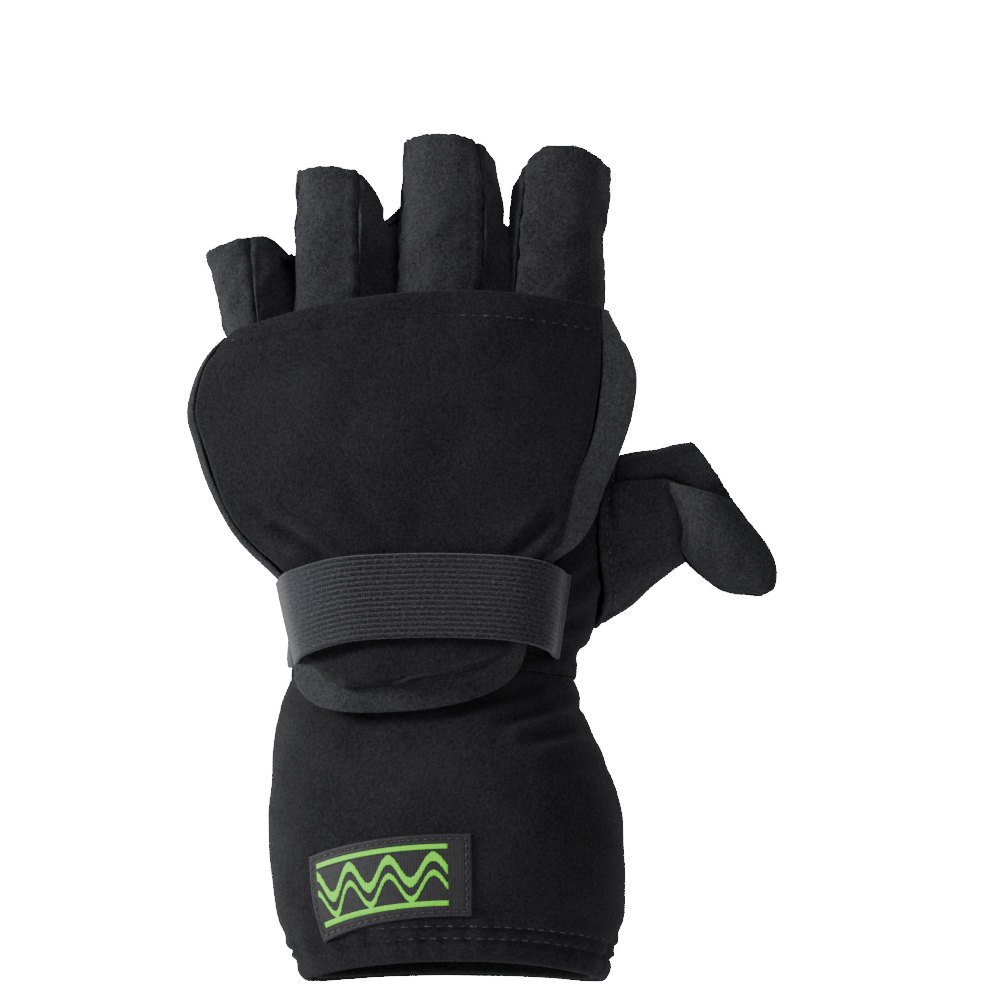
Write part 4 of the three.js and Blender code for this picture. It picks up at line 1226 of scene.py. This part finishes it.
def covered_elastic(name, groove, ridge, fleck):
    """Woven elastic: a close polyester cover over rubber cords, heathered with lighter flecks that lie
    along the band. Painted shade darkens the grooves between its cords, except near the sewn ends."""
    finish, tree = new_finish(name)
    flat = add(tree, "ShaderNodeUVMap", uv_map="flat").outputs[0]
    long = add(tree, "ShaderNodeMapping", {"Vector": flat, "Scale": (0.32, 1.0, 1.0)}).outputs[0]
    streaks = add(tree, "ShaderNodeTexNoise", {"Vector": long, "Scale": 1000 / 0.34, "Detail": 3.0,
                                               "Roughness": 0.7}).outputs["Fac"]
    cover = add(tree, "ShaderNodeTexWave", {"Vector": flat, "Scale": WAVE_SCALE / 0.75, "Distortion": 1.6,
                                            "Detail": 2.0}, bands_direction="X").outputs["Fac"]
    # Painted shade: the grooves between the cords are coloured near black, fading to an even grey near the
    # sewn ends.
    grooves = add(tree, "ShaderNodeTexWave", {
        "Vector": flat, "Scale": WAVE_SCALE / (STRAP_HEIGHT / STRAP_RIBS), "Distortion": 0.0,
        "Phase Offset": math.pi}, bands_direction="Y").outputs["Fac"]
    groove_shade = add(tree, "ShaderNodeMapRange", {"Value": grooves, "From Min": 0.6, "From Max": 1.0}).outputs[0]
    run = add(tree, "ShaderNodeSeparateXYZ", {"Vector": flat}).outputs["X"]
    thumb_end = add(tree, "ShaderNodeMapRange", {"Value": run, "From Min": 0.004,
                                                 "From Max": 0.018}).outputs[0]
    far_end = add(tree, "ShaderNodeMapRange", {"Value": run, "From Min": STRAP_RUN - 0.032,
                                               "From Max": STRAP_RUN - 0.054}).outputs[0]
    taut = add(tree, "ShaderNodeMath", {0: thumb_end, 1: far_end}, operation="MULTIPLY").outputs[0]
    ribbed = add(tree, "ShaderNodeMix", {0: taut, 2: 0.62, 3: groove_shade}, data_type="FLOAT").outputs[0]
    body = add(tree, "ShaderNodeMix", {0: ribbed, 6: linear(groove), 7: linear(ridge)},
               data_type="RGBA").outputs[2]
    bright = add(tree, "ShaderNodeMapRange", {"Value": streaks, "From Min": 0.5,
                                              "From Max": 0.78}).outputs[0]
    colour = add(tree, "ShaderNodeMix", {0: bright, 6: body, 7: linear(fleck)}, data_type="RGBA").outputs[2]
    height = add(tree, "ShaderNodeMath", {0: cover, 1: 0.6, 2: streaks},
                 operation="MULTIPLY_ADD").outputs[0]
    bump = add(tree, "ShaderNodeBump", {"Height": height, "Strength": 0.6, "Distance": 0.0002}).outputs[0]
    close_finish(tree, add(tree, "ShaderNodeBsdfPrincipled", {
        "Base Color": colour, "Roughness": 0.8, "IOR": 1.5, "Specular IOR Level": 0.25, "Normal": bump,
        "Sheen Weight": 0.2, "Sheen Roughness": 0.45}))
    return finish


STRAP_RUN = path_length(strap_face(np.linspace(0, 1, 60), np.full(60, 0.5))) * 0.001
strap_elastic = covered_elastic("covered elastic webbing, charcoal", "#020203", "#2f2f35", "#55555c")
elastic_strap = sewn_panel("elastic_strap_band", mirrored(strap_face), (strap_elastic,) * 3,
                           wall=STRAP_THICK, pitch=0.26, pitch_across=0.6,
                           outer_roll=(0.5, 0.5, 0.7, 0.7), inner_roll=(0.5, 0.5, 0.7, 0.7),
                           relief=strap_relief)
seat(elastic_strap, "elastic_strap", "ribbed_elastic")


# Stage, light and camera
# A pale floor well below the glove, which is held up by its cuff, a white room, a large soft
# light from the left and front, and a long lens that looks slightly up at the back of the hand.
FLOOR_DEPTH = -0.55
EYE_DISTANCE, EYE_FIELD = 2.0, 0.300
EYE_TARGET = (0.012, 0.0, 0.1409)
EYE_TILT = (0.990, 0.139)
ROOM_LIGHT, ROOM_SEEN = 0.2, 30.0

floor_finish, floor_tree = new_finish("matt pale floor")
close_finish(floor_tree, add(floor_tree, "ShaderNodeBsdfPrincipled", {
    "Base Color": linear("#eeeeee"), "Roughness": 0.8}))
floor_mesh = bpy.data.meshes.new("floor")
corners = [(x * 6, y * 6, FLOOR_DEPTH) for x, y in ((-1, -1), (1, -1), (1, 1), (-1, 1))]
floor_mesh.from_pydata(corners, [], [(0, 1, 2, 3)])
floor_mesh.materials.append(floor_finish)
floor = bpy.data.objects.new("floor", floor_mesh)
bpy.context.scene.collection.objects.link(floor)

world = bpy.data.worlds.new("white room")
bpy.context.scene.world = world
world.use_nodes = True
sky = world.node_tree.nodes["Background"]
sky.inputs["Color"].default_value = (1, 1, 1, 1)
seen = add(world.node_tree, "ShaderNodeLightPath").outputs["Is Camera Ray"]
shine = add(world.node_tree, "ShaderNodeMapRange", {
    "Value": seen, "To Min": ROOM_LIGHT, "To Max": ROOM_SEEN}).outputs[0]
world.node_tree.links.new(shine, sky.inputs["Strength"])


def soft_light(name, place, aim, width, power):
    lamp = bpy.data.lights.new(name, "AREA")
    lamp.size, lamp.energy = width, power
    light = bpy.data.objects.new(name, lamp)
    light.location = place
    direction = [b - a for a, b in zip(place, aim)]
    light.rotation_mode = "QUATERNION"
    light.rotation_quaternion = Vector(direction).to_track_quat("-Z", "Y")
    bpy.context.scene.collection.objects.link(light)


soft_light("key_light", place=(-1.98, -0.82, 0.8), aim=(0.0, 0.0, 0.12), width=0.7, power=88)
soft_light("top_light", place=(0.1, -0.6, 1.6), aim=(0.0, 0.0, 0.15), width=1.0, power=9)
soft_light("fill_light", place=(1.3, -1.6, 0.5), aim=(0.03, 0.0, 0.12), width=1.2, power=8)
soft_light("rim_light", place=(-1.3, 1.3, 0.7), aim=(0.0, 0.0, 0.12), width=1.0, power=24)
soft_light("rear_light", place=(1.2, 1.6, 0.9), aim=(0.0, 0.0, 0.12), width=1.0, power=16)

camera = bpy.data.objects.new("camera", bpy.data.cameras.new("camera"))
camera.data.lens = camera.data.sensor_width * EYE_DISTANCE / EYE_FIELD
camera.location = [t - EYE_DISTANCE * e for t, e in zip(EYE_TARGET, (0, *EYE_TILT))]
camera.rotation_mode = "QUATERNION"
camera.rotation_quaternion = Vector((0, *EYE_TILT)).to_track_quat("-Z", "Y")
bpy.context.scene.collection.objects.link(camera)
bpy.context.scene.camera = camera
